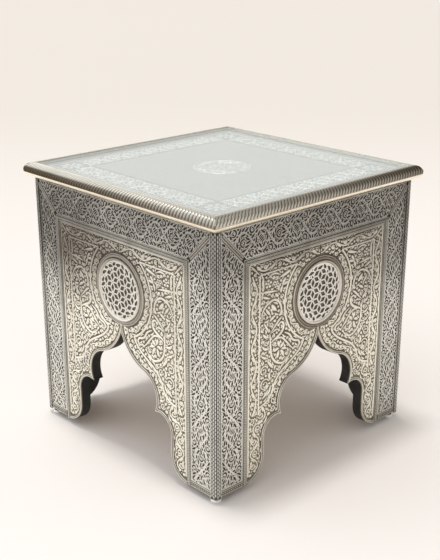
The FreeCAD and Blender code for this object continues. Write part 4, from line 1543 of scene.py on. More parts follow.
@dataclass(frozen=True)
class ChasedMetal(Finish):
    """White metal whose crests are rubbed bright and whose recesses keep a dark oxide.

    The oxide gives way between the two crest values of rub. A recess turns deep where it is tarnished and where
    painted shade falls; dull is how much painted shade darkens the upper far ends, and the roughness is that
    of recess and crest. On the rim and the medallion's lip the crest also carries painted light and shade.
    """

    bright: Colour
    dark: Colour
    tarnish: Colour
    deep: Colour = (64, 61, 55)
    rub: tuple[float, float] = (0.15, 0.8)
    tarnish_share: float = 0.3
    dull: float = 0.75
    roughness: tuple[float, float] = (0.55, 0.36)
    metallic: float = 0.9
    bump: float = 0.25

    def shade(self, nodes: Nodes) -> None:
        """Rub the crests, tarnish the rest and paint shade on the upper far ends.

        Args:
            nodes: The material's nodes.
        """
        patina = nodes.patina()
        crest = nodes.add("ShaderNodeAttribute", attribute_name="crest").outputs["Fac"]
        bright_share = nodes.ramp(crest, *self.rub)
        worn = nodes.math("MULTIPLY", patina["Tarnish"], self.tarnish_share)
        # Real tarnish plus painted shade on the upper far ends
        tarnish_and_shade = nodes.math("MULTIPLY_ADD", patina["Dull"], self.dull, worn, True)
        toned = nodes.blend(tarnish_and_shade, self.bright, self.tarnish)
        speckled = nodes.blend(nodes.math("MULTIPLY", patina["Speckle"], 0.14), toned, self.dark)
        recess = nodes.blend(tarnish_and_shade, self.dark, self.deep)
        nodes.feed("Base Color", nodes.blend(bright_share, recess, speckled))
        smooth = nodes.between(bright_share, self.roughness)
        nodes.feed("Roughness", nodes.math("MULTIPLY_ADD", worn, 0.25, smooth))
        nodes.feed("Metallic", self.metallic)
        nodes.bump(patina["Hammer"], self.bump, 0.0006)


@dataclass(frozen=True)
class SheetMetal(Finish):
    """Plain or oxidised metal without chasing, rougher where it is tarnished, with painted shade on its upper
    far ends.
    """

    clean: Colour
    tarnish: Colour
    roughness: tuple[float, float] = (0.4, 0.6)
    metallic: float = 0.9
    dull: float = 0.5
    cloud: float = 14.0
    bump: float = 0.2

    def shade(self, nodes: Nodes) -> None:
        """Tarnish the sheet in patches and paint shade on its upper far ends.

        Args:
            nodes: The material's nodes.
        """
        patina = nodes.patina(self.cloud)
        worn = nodes.math("MULTIPLY", patina["Tarnish"], 0.6)
        # Real tarnish plus painted shade on the upper far ends
        tarnish_and_shade = nodes.math("MULTIPLY_ADD", patina["Dull"], self.dull, worn, True)
        toned = nodes.blend(tarnish_and_shade, self.clean, self.tarnish)
        speckle = nodes.math("MULTIPLY", patina["Speckle"], 0.25)
        nodes.feed("Base Color", nodes.blend(speckle, toned, self.tarnish))
        nodes.feed("Roughness", nodes.between(patina["Tarnish"], self.roughness))
        nodes.feed("Metallic", self.metallic)
        nodes.bump(patina["Hammer"], self.bump)


@dataclass(frozen=True)
class Grained(Finish):
    """Wood with its grain, bare or under worn dark paint, or rubber with a fine grain.

    Painted wood is bare inside this distance from the upright axis and above this height, in metres.
    """

    paint: Colour
    worn: Colour
    grain_scale: tuple[float, float, float] = (160.0, 160.0, 9.0)
    roughness: tuple[float, float] = (0.55, 0.75)
    bare: Colour = (224, 203, 171)
    inside: float = 0.0
    above: float = 0.0

    def shade(self, nodes: Nodes) -> None:
        """Draw the grain, and leave the paint off within and above.

        Args:
            nodes: The material's nodes.
        """
        place = nodes.place()
        along = nodes.add("ShaderNodeMapping", {"Vector": place, "Scale": self.grain_scale}).outputs[0]
        grain = nodes.noise(along, 1.0, 6.0, Roughness=0.6)
        thin = nodes.ramp(grain, 0.52, 0.78)
        colour = nodes.blend(thin, self.paint, self.worn)
        if self.inside:
            axes = nodes.axes(place)
            off = nodes.math("MAXIMUM", *(nodes.math("ABSOLUTE", axes[name]) for name in ("X", "Y")))
            within = nodes.ramp(off, self.inside + 0.0008, self.inside + 0.0002)
            upper = nodes.math("MULTIPLY", within, nodes.ramp(axes["Z"], self.above, self.above + 0.02))
            colour = nodes.blend(upper, colour, self.bare)
        nodes.feed("Base Color", colour)
        nodes.feed("Roughness", nodes.between(thin, self.roughness))
        nodes.bump(grain, 0.2)


@dataclass(frozen=True)
class ClearGlass(Finish):
    """Clear float glass with a little dust in its gloss."""

    tint: Colour

    def shade(self, nodes: Nodes) -> None:
        """Let the light through.

        Args:
            nodes: The material's nodes.
        """
        nodes.feed("Roughness", nodes.between(nodes.patina()["Tarnish"], (0.02, 0.06)))
        nodes.feed("Base Color", self.tint)
        nodes.feed("Transmission Weight", 1.0)
        nodes.feed("IOR", 1.5)


@dataclass(frozen=True)
class PaleFloor(Finish):
    """The studio's floor, with painted shade that makes it a little darker further away."""

    near: Colour = (249, 244, 241)
    far: Colour = (229, 223, 216)

    def shade(self, nodes: Nodes) -> None:
        """Blend the two colours along the view.

        Args:
            nodes: The material's nodes.
        """
        axes = nodes.axes(nodes.place())
        # Painted shade: the floor darkens from the near colour to the far one away from the view
        away = nodes.ramp(nodes.math("SUBTRACT", axes["Y"], axes["X"]), -0.6, 5.0)
        nodes.feed("Base Color", nodes.blend(away, self.near, self.far))
        nodes.feed("Roughness", 0.8)


# Each metal's dull share sets how much painted shade darkens its upper far ends
RELIEF = ChasedMetal("relief_silver", (254, 250, 237), (124, 117, 103), (122, 113, 102), rub=(0.05, 0.5),
                     tarnish_share=0.12, dull=0.88)
PANEL_GROUND = SheetMetal("panel_ground", (142, 135, 119), (74, 69, 61), (0.5, 0.65), 0.8, 0.9)
FRAME_SILVER = ChasedMetal("frame_silver", (242, 241, 234), (78, 76, 70), (122, 118, 112), tarnish_share=0.2,
                           dull=0.78)
FRAME_GROUND = SheetMetal("frame_ground", (88, 85, 77), (56, 54, 50), (0.55, 0.7), 0.75)
STRIP = SheetMetal("strip_metal", (122, 119, 111), (90, 87, 81), (0.4, 0.55))
STRIP_LINE = ChasedMetal("strip_line", (226, 221, 208), (96, 92, 84), (160, 155, 147), rub=(0.05, 0.4))
RIM_METAL = ChasedMetal("rim_metal", (252, 249, 238), (74, 62, 45), (206, 199, 181), (60, 51, 40),
                        (0.05, 0.9), dull=0.0, roughness=(0.34, 0.2), metallic=1.0, bump=0.1)
ROLL_METAL = ChasedMetal("roll_metal", (255, 247, 229), (166, 153, 126), (240, 227, 199), tarnish_share=0.5,
                         dull=0.0, roughness=(0.34, 0.25), metallic=1.0, bump=0.1)
LATTICE_METAL = ChasedMetal("medallion_silver", (238, 236, 229), (120, 116, 108), (192, 188, 180),
                            (84, 80, 73), dull=0.6)
RING_METAL = ChasedMetal("ring_metal", (228, 221, 205), (148, 140, 131), (158, 150, 142), (116, 109, 103),
                         (0.5, 0.95))
# Painted light: a copy of the ring metal with lighter recesses, for the front and back rings
LIT_RING_METAL = replace(RING_METAL, name="lit_ring_metal", dark=(170, 166, 159), deep=(143, 139, 132))
LIP_METAL = ChasedMetal("lip_metal", (226, 221, 208), (120, 112, 98), (186, 179, 163), tarnish_share=0.15)
TRIM_METAL = ChasedMetal("trim_metal", (243, 239, 227), (92, 88, 81), (158, 151, 139), rub=(0.05, 0.8))
BEAD_METAL = ChasedMetal("bead_metal", (240, 237, 227), (108, 106, 99), (156, 153, 145), rub=(0.05, 0.9))
CORNER_METAL = ChasedMetal("corner_metal", (232, 231, 224), (88, 87, 82), (148, 146, 140), rub=(0.1, 0.62))
TOP_METAL = ChasedMetal("top_silver", (255, 255, 255), (200, 197, 203), (239, 237, 240), (193, 190, 196),
                        (0.05, 0.5), dull=0.0)
BLACK_WOOD = Grained("black_painted_wood", (24, 23, 22), (52, 46, 40))
BOARD_WOOD = Grained("board_poplar", (224, 203, 171), (204, 177, 140))
BARE_WOOD = Grained("dowel_beech", (176, 140, 98), (150, 112, 74))
RUBBER = Grained("washer_rubber", (22, 22, 22), (40, 39, 38), (300.0, 300.0, 300.0), (0.7, 0.85))
GLASS = ClearGlass("pane_glass", (253, 253, 252))
GLIDE_METAL = SheetMetal("glide_nickel", (254, 254, 252), (232, 232, 230), (0.3, 0.4), 0.35, 0.0, bump=0.05)
SCREW = SheetMetal("screw_steel", (170, 165, 155), (120, 116, 108), (0.35, 0.5), 1.0, 0.0)


def make_piece(relief: Relief, name: str, finish: Finish, replaced: str = "", spot: Spot | None = None) -> None:
    """Make a piece, give it its material and body, and hide the CAD node that it replaces.

    Args:
        relief: Its faces.
        name: Name of the piece, without the side or corner.
        finish: Its finish.
        replaced: CAD node that it replaces, without the side or corner, if there is one.
        spot: Side or corner that it is turned to, if it belongs to one.
    """
    ending = f"_{spot.word}" if spot else ""
    piece = relief.make(name + ending, spot.value if spot else 0.0)
    piece.data.materials.append(finish.material())
    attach(piece, BODY)
    if replaced:
        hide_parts(replaced + ending)
    LOG.info("%s: %d faces", piece.name, len(piece.data.polygons))


def dress_node(name: str, finish: Finish) -> None:
    """Give a CAD node that keeps its shape a better material.

    Args:
        name: Name of the node.
        finish: Its finish.
    """
    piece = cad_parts[name]
    if not piece.material_slots:
        piece.data.materials.append(finish.material())
    for slot in piece.material_slots:
        slot.material = finish.material()


# Sizes of the arch that no box of a CAD node shows, in millimetres
LEG_WIDTH = 108.0
FOOT_LAND = 65.0
MEDALLION_GAP = 12.5


def read_plan() -> SidePlan:
    """Read where the parts of a side lie from the CAD nodes of the front.

    Returns:
        The plan.
    """
    stile_low, stile_high = node_box("stile_sheet_front_right")
    rail_low, rail_high = node_box("rail_sheet_front")
    panel_low, panel_high = node_box("panel_sheet_front")
    disc_low, disc_high = node_box("medallion_front")
    face, foot = -stile_low[1], node_box("side_board_front")[0][2]
    radius = (disc_high[0] - disc_low[0]) / 2
    arch = ArchEdge(foot, face - LEG_WIDTH, disc_low[2] - MEDALLION_GAP, LEG_WIDTH - FOOT_LAND)
    shoe_top = node_box("leg_shoes")[1][2]
    return SidePlan(face, stile_high[0], stile_low[0], panel_high[0], panel_high[2], panel_low[2],
                    rail_low[2], rail_high[2], stile_high[2], shoe_top, disc_low[2] + radius, radius, arch)


@dataclass
class FrameStrips:
    """The pierced-looking lattice on the rail and the two stiles of each side.

    A lattice is given by its pitch, its swing and the reach of its roundels.
    """

    plan: SidePlan
    height: float = 1.1
    inset: float = 0.4
    mitre_gap: float = 6.0
    margin: float = 0.8
    strap: float = 1.7
    web: float = 1.5
    rail_lattice: tuple[float, float, float] = (39.5, 17.0, 6.4)
    stile_lattice: tuple[float, float, float] = (49.0, 14.5, 6.0)
    relief: Relief = field(default_factory=Relief)

    def rail_outline(self) -> Array:
        """Draw round the rail's lattice.

        Returns:
            The corners, from the lower right.
        """
        plan = self.plan
        low, high = plan.rail_bottom + self.inset, plan.rail_top - self.inset - 2
        inner = plan.stile_inner + self.inset - self.mitre_gap
        outer = plan.stile_inner + plan.mitre_top - plan.rail_bottom - self.mitre_gap
        right = np.array([[inner, low], [outer, plan.mitre_top], [plan.corner - 1.0, high]])
        return np.vstack([right, (right * (-1, 1))[::-1]])

    def stile_outline(self) -> Array:
        """Draw round the right stile's lattice.

        Returns:
            The corners, from the lower left.
        """
        plan = self.plan
        inner, outer = plan.stile_inner + self.inset, plan.corner - self.inset
        low = plan.shoe_top + self.inset
        inner_top = plan.rail_bottom + (inner - plan.stile_inner) - self.mitre_gap
        outer_top = plan.rail_bottom + (outer - plan.stile_inner) - self.mitre_gap
        return np.array([[inner, low], [outer, low], [outer, outer_top], [inner, inner_top]])

    def lattice(self, sizes: tuple[float, float, float], width: float) -> PiercedLattice:
        """Return the pattern of a strip of this width, with its pitch, swing and roundels."""
        pitch, swing, roundel = sizes
        return PiercedLattice(pitch, width / 2 - self.margin, swing, self.strap, roundel, self.web)

    def build(self) -> None:
        """Cut the openings and raise the plates."""
        plan, lay = self.plan, side_lay(self.plan.face)
        rail, stile = self.rail_outline(), self.stile_outline()
        low, high = rail[0, 1], rail[2, 1]
        inner, outer = stile[0, 0], stile[1, 0]
        level, middle = (high + low) / 2, (outer + inner) / 2
        lattice = self.lattice(self.rail_lattice, high - low)
        across = lattice.plate(rail, lambda path: path + (0.0, level), plan.corner)
        lattice = self.lattice(self.stile_lattice, outer - inner)
        right = lattice.plate(stile, lambda path: np.column_stack([middle - path[:, 1], path[:, 0]]),
                              plan.mitre_top)
        left = [Stroke(s.path * (-1, 1), s.half_width, s.height) for s in right]
        for outline, openings in ((rail, across), (stile, right), ((stile * (-1, 1))[::-1], left)):
            self.relief.pierced(outline, openings, self.height, lay)

    def dress(self) -> None:
        """Make the pieces for all four sides."""
        for side in Side:
            make_piece(self.relief, "frame_lattice", FRAME_SILVER, spot=side)
            for name in ("rail_sheet_{}", "stile_sheet_{}_left", "stile_sheet_{}_right"):
                dress_node(name.format(side.word), FRAME_GROUND)


@dataclass
class StripLines:
    """The raised lines and dots on the mitre strips and, larger, on the leg shoes."""

    plan: SidePlan
    height: float = 0.7
    line: float = 1.7
    mitre_half: float = 2.0
    dots: tuple[float, float] = (0.8, 1.5)
    dot_pitch: float = 4.6
    relief: Relief = field(default_factory=Relief)

    def build(self) -> None:
        """Raise two edge lines and a row of dots on each strip."""
        plan = self.plan
        shoe_foot = node_box("leg_shoes")[0][2]
        start = np.array([plan.stile_inner + 3.5, plan.rail_bottom + 3.5])
        end = np.array([plan.corner - 1.5, plan.mitre_top - 1.5])
        level = (shoe_foot + plan.shoe_top) / 2
        half = (plan.shoe_top - shoe_foot) / 2 - 1.3
        foot = np.array([plan.stile_inner + 1.0, level]), np.array([plan.corner - 1.0, level])
        design = Tracery(self.height)
        self.row(design, start, end, self.mitre_half, self.dots[0])
        self.row(design, *foot, half, self.dots[1])
        self.relief.tracery(design.mirrored(), side_lay(-node_box("mitre_strips")[0][1]))

    def row(self, design: Tracery, start: Array, end: Array, half: float, dot: float) -> None:
        """Draw one strip's lines and dots.

        Args:
            design: Tracery to add them to.
            start: Where the strip's middle starts.
            end: Where it ends.
            half: Middle to the edge lines.
            dot: Radius of the dots.
        """
        length = math.dist(start, end)
        side = np.array([start[1] - end[1], end[0] - start[0]]) / length * half
        for way in (1, -1):
            design.line(np.linspace(start + way * side, end + way * side, 12), self.line)
        for share in np.arange(self.dot_pitch / 2, length, self.dot_pitch) / length:
            design.boss(start + (end - start) * share, dot)

    def dress(self) -> None:
        """Make the pieces for all four sides."""
        for side in Side:
            make_piece(self.relief, "strip_lines", STRIP_LINE, spot=side)


@dataclass
class PanelRelief:
    """The raised scrolls, lines and leaves of the panels."""

    plan: SidePlan
    relief: Relief = field(default_factory=Relief)

    def build(self) -> None:
        """Raise every line of the design."""
        self.relief.tracery(PanelDesign(self.plan).whole(), side_lay(self.plan.face))

    def dress(self) -> None:
        """Make the pieces for all four sides and dress the sheets below them."""
        for side in Side:
            make_piece(self.relief, "panel_scrolls", RELIEF, spot=side)
            dress_node(f"panel_sheet_{side.word}", PANEL_GROUND)


@dataclass
class Medallion:
    """The double ring of each side and its plate, pierced as a lattice of six-petalled stars.

    A profile gives the way in from the ring's edge, the height and the crest of points across it.
    """

    plan: SidePlan
    ring_width: float = 8.0
    lip_width: float = 4.4
    ring_profile: tuple[tuple[float, float, float], ...] = (
        (0.0, -SINK, 0.6), (0.2, 1.6, 1.0), (0.9, 2.3, 1.0), (1.6, 1.9, 0.6), (2.4, 0.6, 0.0),
        (3.4, 2.1, 0.1), (5.0, 2.8, 0.3), (6.6, 2.1, 0.1), (7.6, 0.6, 0.0), (8.2, -SINK, 0.0))
    lip_profile: tuple[tuple[float, float, float], ...] = (
        (-0.5, -SINK, 0.0), (-0.2, 2.8, 0.6), (0.6, 3.9, 0.9), (1.6, 3.8, 1.0), (3.0, 3.2, 1.0),
        (4.2, 2.4, 0.9), (4.6, -SINK, 0.0))
    lip_upper: float = 0.5
    plate_height: float = 2.0
    floor_height: float = 0.3
    star: float = 20.0
    web: float = 3.1
    lattice: Relief = field(default_factory=Relief)
    ring: Relief = field(default_factory=Relief)
    lip: Relief = field(default_factory=Relief)

    def build(self) -> None:
        """Turn the rings and pierce the plate."""
        middle = (0.0, self.plan.medallion_height)
        lay = side_lay(self.plan.face)
        outer = self.plan.medallion_radius
        lip = outer - self.ring_width
        self.turned(self.ring, lay, middle, outer, self.ring_profile)
        self.turned(self.lip, lay, middle, lip, self.lip_profile, self.lip_upper)
        reach = lip - self.lip_width + 0.6
        edge = arc(middle, reach, 0, 360 - 360 / 72, 4.2)
        floor = np.stack([lay(edge, np.full(len(edge), level)) for level in (-SINK, self.floor_height)])
        self.lattice.grid(floor, np.zeros(len(edge)))
        self.lattice.pierced(edge, self.openings(np.array(middle), reach), self.plate_height, lay)

    def openings(self, middle: Array, reach: float) -> list[Stroke]:
        """Cut the petals between neighbouring stars, and smaller openings along the plate's edge.

        Args:
            middle: Middle of the plate.
            reach: Its radius.

        Returns:
            Openings that keep clear of each other and of the edge.
        """
        found = Tracery(1.0)
        ways = [direction(angle) for angle in np.radians((30, 90, 150))]
        steps = range(-5, 6)
        slope = math.tan(math.radians(30))
        tip = (self.web / 2 + 0.4) / slope
        along = tip + (self.star - 2 * tip) * np.linspace(0, 1, 11)
        half = slope * np.minimum(along, self.star - along) - self.web / 2 - 0.3
        for start in (self.star * (i * ways[0] + j * ways[1]) for i in steps for j in steps):
            for way in ways:
                path = start + along[:, None] * way
                if np.hypot(*path.T).max() < reach - self.web / 2:
                    found.strokes.append(Stroke(middle + path, half, np.ones(len(along))))
        filler = GapFiller(tuple(middle - reach), tuple(middle + reach), FINE_STEP,
                           lambda points: np.hypot(*(points - middle).T) < reach)
        filler.pierce(found, self.web * 0.75, 2.6)
        return found.strokes

    def turned(self, relief: Relief, lay: Lay, middle: Point, radius: float,
               profile: Sequence[tuple[float, float, float]], upper: float = 1.0) -> None:
        """Turn a ring from a profile.

        Args:
            relief: Gathers it.
            lay: Puts points with their heights on the side.
            middle: Middle of the ring.
            radius: Its radius.
            profile: Way in, height and crest of each point.
            upper: Share of the crest that the ring keeps at its top, where painted shade darkens it.
        """
        angles = np.linspace(0, 2 * np.pi, 96, endpoint=False)
        inward, height, crest = np.array(profile).T
        reach = radius - inward
        around = np.stack([np.cos(angles), np.sin(angles)], -1)[:, None]
        flat = np.array(middle) + around * reach[:, None]
        # Painted shade: the ring's crest fades towards its top, down to the upper share
        bright_share = np.interp(np.sin(angles), (-0.4, 0.9), (1.0, upper))[:, None]
        relief.laid(flat, height, bright_share * crest, lay, along=True)

    def dress(self) -> None:
        """Make the pieces for all four sides."""
        for side in Side:
            make_piece(self.lattice, "medallion_lattice", LATTICE_METAL, "medallion", side)
            # Painted light: the front and back rings take the lighter copy of the ring metal
            ring = RING_METAL if side in (Side.RIGHT, Side.LEFT) else LIT_RING_METAL
            make_piece(self.ring, "medallion_ring", ring, spot=side)
            make_piece(self.lip, "medallion_lip", LIP_METAL, spot=side)


@dataclass
class ArchTrim:
    """The rolled trim along each arch: an outer roll, a groove and a bright inner line.

    Its profile gives the way out from the arch, the height and the crest of points across it.
    """

    plan: SidePlan
    profile: tuple[tuple[float, float, float], ...] = (
        (0.0, -SINK, 0.1), (0.05, 1.3, 0.45), (0.7, 2.2, 0.6), (1.6, 2.5, 0.62), (2.5, 2.2, 0.5),
        (3.0, 1.1, 0.0), (3.5, 1.2, 0.5), (4.1, 1.7, 1.0), (4.7, 1.3, 0.8), (5.0, -SINK, 0.1))
    count: int = 220
    relief: Relief = field(default_factory=Relief)

    def build(self) -> None:
        """Sweep the trim's section along both halves of the arch."""
        outset, height, crest = np.array(self.profile).T
        ribbons = [Ribbon(self.plan.arch.edge(float(out), self.plan.panel_side)) for out in outset]
        rows = [ribbon.at(np.linspace(0, ribbon.length, self.count), ribbon.path) for ribbon in ribbons]
        right = np.stack(rows, axis=1)
        for flat in (right, (right * (-1, 1))[::-1]):
            self.relief.laid(flat, height, crest, side_lay(self.plan.face))

    def dress(self) -> None:
        """Make the pieces for all four sides."""
        for side in Side:
            make_piece(self.relief, "arch_roll", TRIM_METAL, "arch_trim", side)


@dataclass
class PanelBead:
    """The ribbed strip bent round three sides of each panel.

    Its section gives the way across, the height, the crest and the share of ribs of points across the left
    half. Dip and shade are the shares of height and crest that are lost between two ribs.
    """

    plan: SidePlan
    pitch: float = 3.0
    section: tuple[tuple[float, float, float, int], ...] = (
        (-1.0, 0.0, 0.0, 0), (-0.96, 0.45, 0.55, 0), (-0.72, 0.5, 0.6, 0), (-0.6, 0.3, 0.0, 0),
        (-0.36, 0.82, 0.7, 1), (0.0, 1.0, 0.8, 1))
    dip: float = 0.34
    shade: float = 0.75
    relief: Relief = field(default_factory=Relief)

    def build(self) -> None:
        """Rib a half-round strip along both uprights and the top."""
        plan = self.plan
        low = node_box("panel_bead_front")[0]
        half = (plan.stile_inner - plan.panel_side) / 2
        middle, top = plan.panel_side + half, plan.panel_top + half
        corners = [np.array(p) for p in ((-middle, low[2]), (-middle, top), (middle, top), (middle, low[2]))]
        for start, end, mitres in zip(corners, corners[1:], ((0, 1), (1, 1), (1, 0))):
            self.run(start, end, half, -low[1] - plan.face, mitres)

    def run(self, start: Array, end: Array, half: float, crown: float,
            mitres: tuple[int, int]) -> None:
        """Add one straight run.

        Args:
            start: Where its middle starts.
            end: Where its middle ends.
            half: Half its width.
            crown: Height of its crown off the face.
            mitres: 1 where an end is mitred, at its start and its end.
        """
        length = math.dist(start, end)
        toward = (end - start) / length
        side = np.array([-toward[1], toward[0]])
        left = np.array(self.section)
        across, swell, tone, ribbed = np.vstack([left, (left * (-1, 1, 1, 1))[-2::-1]]).T
        t = np.linspace(0, length, int(length / self.pitch * 6))
        hollow = ribbed * (0.5 - 0.5 * np.cos(2 * np.pi * t / self.pitch))[:, None]
        shift = across * half
        begin, finish = -shift * mitres[0], shift * mitres[1]
        along = t[:, None] / length * (length + finish - begin) + begin
        flat = start + along[..., None] * toward + shift[None, :, None] * side
        height = swell * (1 - self.dip * hollow) * (crown + SINK) - SINK
        self.relief.laid(flat, height, tone * (1 - self.shade * hollow), side_lay(self.plan.face))

    def dress(self) -> None:
        """Make the pieces for all four sides."""
        for side in Side:
            make_piece(self.relief, "panel_rope", BEAD_METAL, "panel_bead", side)


@dataclass
class Rim:
    """The half-round metal round the top: slanted ribs above and a smooth roll below.

    The ribs lie between two angles above level and lean by slant pitches. Tones give their painted light and
    shade at some angles, at both ends of a side, and shadow how much painted shade darkens their grooves there.
    The first set, painted bright above and dark below, is for the front and back; the second, painted darker
    above and lighter below, for the right and left.
    """

    pitch: float = 7.2
    slant: float = 1.1
    depth: float = 1.2
    ribs: tuple[float, float] = (78.0, -14.0)
    skin: float = 1.6
    lap: float = 5.0
    tones: tuple[tuple[tuple[Point, ...], ...], ...] = (
        (((0, 0.05), (28, 0.1), (44, 0.85), (58, 1.0)), ((-14, 0.4), (18, 0.44), (34, 0.56), (50, 0.66))),
        (((-14, 0.6), (18, 0.64), (40, 0.62), (62, 0.56), (90, 0.65)),
         ((-14, 0.34), (18, 0.34), (40, 0.24), (62, 0.18), (90, 0.5))))
    shadow: tuple[Point, ...] = ((0.95, 0.65), (0.65, 0.9))
    ribbed: tuple[Relief, Relief] = field(default_factory=lambda: (Relief(), Relief()))
    roll: Relief = field(default_factory=Relief)

    def build(self) -> None:
        """Sweep the sections along the front, mitred at both ends."""
        low, high = node_box("rim_cladding_front")
        nose, lip, bottom, top = -low[1], -high[1], low[2], high[2]
        radius = (top - bottom) / 2
        middle = np.array([nose - radius, bottom + radius])
        start, end = self.ribs

        def bend(degrees: Array, reach: float) -> Array:
            """Return points of the half round at these angles."""
            return polar(middle, reach, np.radians(degrees))

        degrees = np.concatenate([[90.0, 84.0], np.linspace(start, end, 14)])
        edge = [(lip, top - self.lap), (lip, top - 0.3), (lip + 0.6, top)]
        close = np.vstack([bend(np.linspace(end, 90, 6), radius - self.skin),
                           [(lip + 1.0, top - self.skin), (lip + 1.0, top - self.lap)]])
        rows = np.vstack([edge, bend(degrees, radius), close])
        ends = (len(edge), len(close))
        turn = np.pad(np.clip((start - degrees) / (start - end), 0, 1), ends)
        fade = np.pad(np.clip(np.minimum(start + 4 - degrees, degrees - end + 2) / 9, 0, 1), ends)
        place = np.linspace(-1, 1, int(2 * nose / self.pitch * 7) + 1)[:, None]
        groove = fade * (1 - np.abs(np.cos(np.pi * (place * nose / self.pitch + self.slant * turn))))
        share = (place + 1) / 2
        angles = np.pad(degrees, ends, constant_values=90.0)
        # Painted light and shade: each set's brightness by angle, blended from end to end, with painted shade
        # in the grooves
        for relief, tone, shadow in zip(self.ribbed, self.tones, self.shadow):
            first, last = (np.interp(angles, *zip(*table)) for table in tone)
            shade = first + (last - first) * share
            dark = (shadow[0] + (shadow[1] - shadow[0]) * share) * groove
            self.sweep(relief, rows, place, groove * self.depth, middle, shade * (1 - dark))
        rows = np.vstack([bend(np.linspace(end - 2, -90, 10), radius),
                          [(lip + 1.0, bottom), (lip + 1.0, bottom + self.skin)],
                          bend(np.linspace(-90, end - 2, 6), radius - self.skin)])
        plain = np.zeros((2, len(rows)))
        self.sweep(self.roll, rows, np.array([[-1.0], [1.0]]), plain, middle, plain + 1.0)

    def sweep(self, relief: Relief, rows: Array, place: Array, sunk: Array, middle: Array,
              crest: Array) -> None:
        """Sweep a section along the side.

        Args:
            relief: Gathers it.
            rows: Points of the section, as distance from the middle and height.
            place: Shares of the way along, one row each.
            sunk: How deep each point lies below the section.
            middle: Middle of the half round.
            crest: How bright each point is.
        """
        out = rows - middle
        out /= np.maximum(np.hypot(*out.T), TINY)[:, None]
        away, height = rows[:, 0] - sunk * out[:, 0], rows[:, 1] - sunk * out[:, 1]
        relief.grid(np.stack([place * rows[:, 0], -away, height], -1), crest)

    def dress(self) -> None:
        """Make the pieces for all four sides and dress the mouldings below them."""
        for side in Side:
            # The front and back take the first set of painted light and shade, the right and left the second
            ribbed = self.ribbed[side in (Side.RIGHT, Side.LEFT)]
            make_piece(ribbed, "rim_ribs", RIM_METAL, "rim_cladding", side)
            make_piece(self.roll, "rim_roll", ROLL_METAL, spot=side)
            dress_node(f"rim_moulding_{side.word}", BLACK_WOOD)


@dataclass
class CornerBead:
    """The quarter-round strip on each corner, covered in small overlapping scales.

    Sizes and pitches of the scales are given up the corner and round it.
    """

    plan: SidePlan
    scale_size: Point = (7.4, 3.4)
    pitch: Point = (7.0, 3.3)
    depth: float = 0.9
    bow: float = 0.5
    edge_tone: float = 0.45
    relief: Relief = field(default_factory=Relief)

    def build(self) -> None:
        """Bend a strip round the corner and raise the scales on it."""
        low, high = node_box("corner_bead_front_right")
        foot, top, crown = low[2], high[2], high[0]
        edge = self.plan.corner
        middle = edge + crown - self.plan.face
        radius = crown - middle
        skin = radius - self.depth
        bend = radius * math.pi / 4
        half = bend + middle - edge

        def lay(flat: Array, height: Array) -> Array:
            """Bend points round the corner.

            Args:
                flat: Points along the section and up.
                height: Height of each off the strip.

            Returns:
                Their places.
            """
            along, level = flat.T
            angle = np.clip(along, -bend, bend) / radius + math.pi / 4
            before, after = np.minimum(along + bend, 0), np.maximum(along - bend, 0)
            reach = skin + height
            x, y = middle + reach * np.sin(angle) + before, -middle - reach * np.cos(angle) + after
            return np.column_stack([x, y, level])

        across = np.concatenate([[-half], np.linspace(-bend, bend, 11), [half]])
        count = len(across)
        outside = lay(np.column_stack([across, np.full(count, foot)]), np.zeros(count))[:, :2]
        inner = np.radians(np.linspace(90, 0, 7))
        board = self.plan.face - 1.0 - edge
        inside = np.column_stack([edge + board * np.sin(inner), -edge - board * np.cos(inner)])
        section = np.vstack([outside, inside])
        tone = np.zeros(len(section))
        tone[[0, count - 1]] = self.edge_tone
        rows = [np.column_stack([section, np.full(len(section), level)]) for level in (foot, top)]
        self.relief.grid(np.stack(rows), tone)
        design = Tracery(self.depth)
        length, width = self.scale_size
        columns = np.arange(-3, 4) * self.pitch[1]
        for k, z in enumerate(np.arange(foot + 0.5, top - length - 0.5, self.pitch[0] / 2)):
            for column in columns[k % 2::2]:
                aside = column + (self.bow if column > 0 else -self.bow)
                design.leaf(((column, z), (aside, z + length / 2), (column, z + length)), width, 0.55)
        self.relief.tracery(design, lay)

    def dress(self) -> None:
        """Make the pieces for all four corners."""
        for corner in Corner:
            make_piece(self.relief, "corner_scales", CORNER_METAL, "corner_bead", corner)


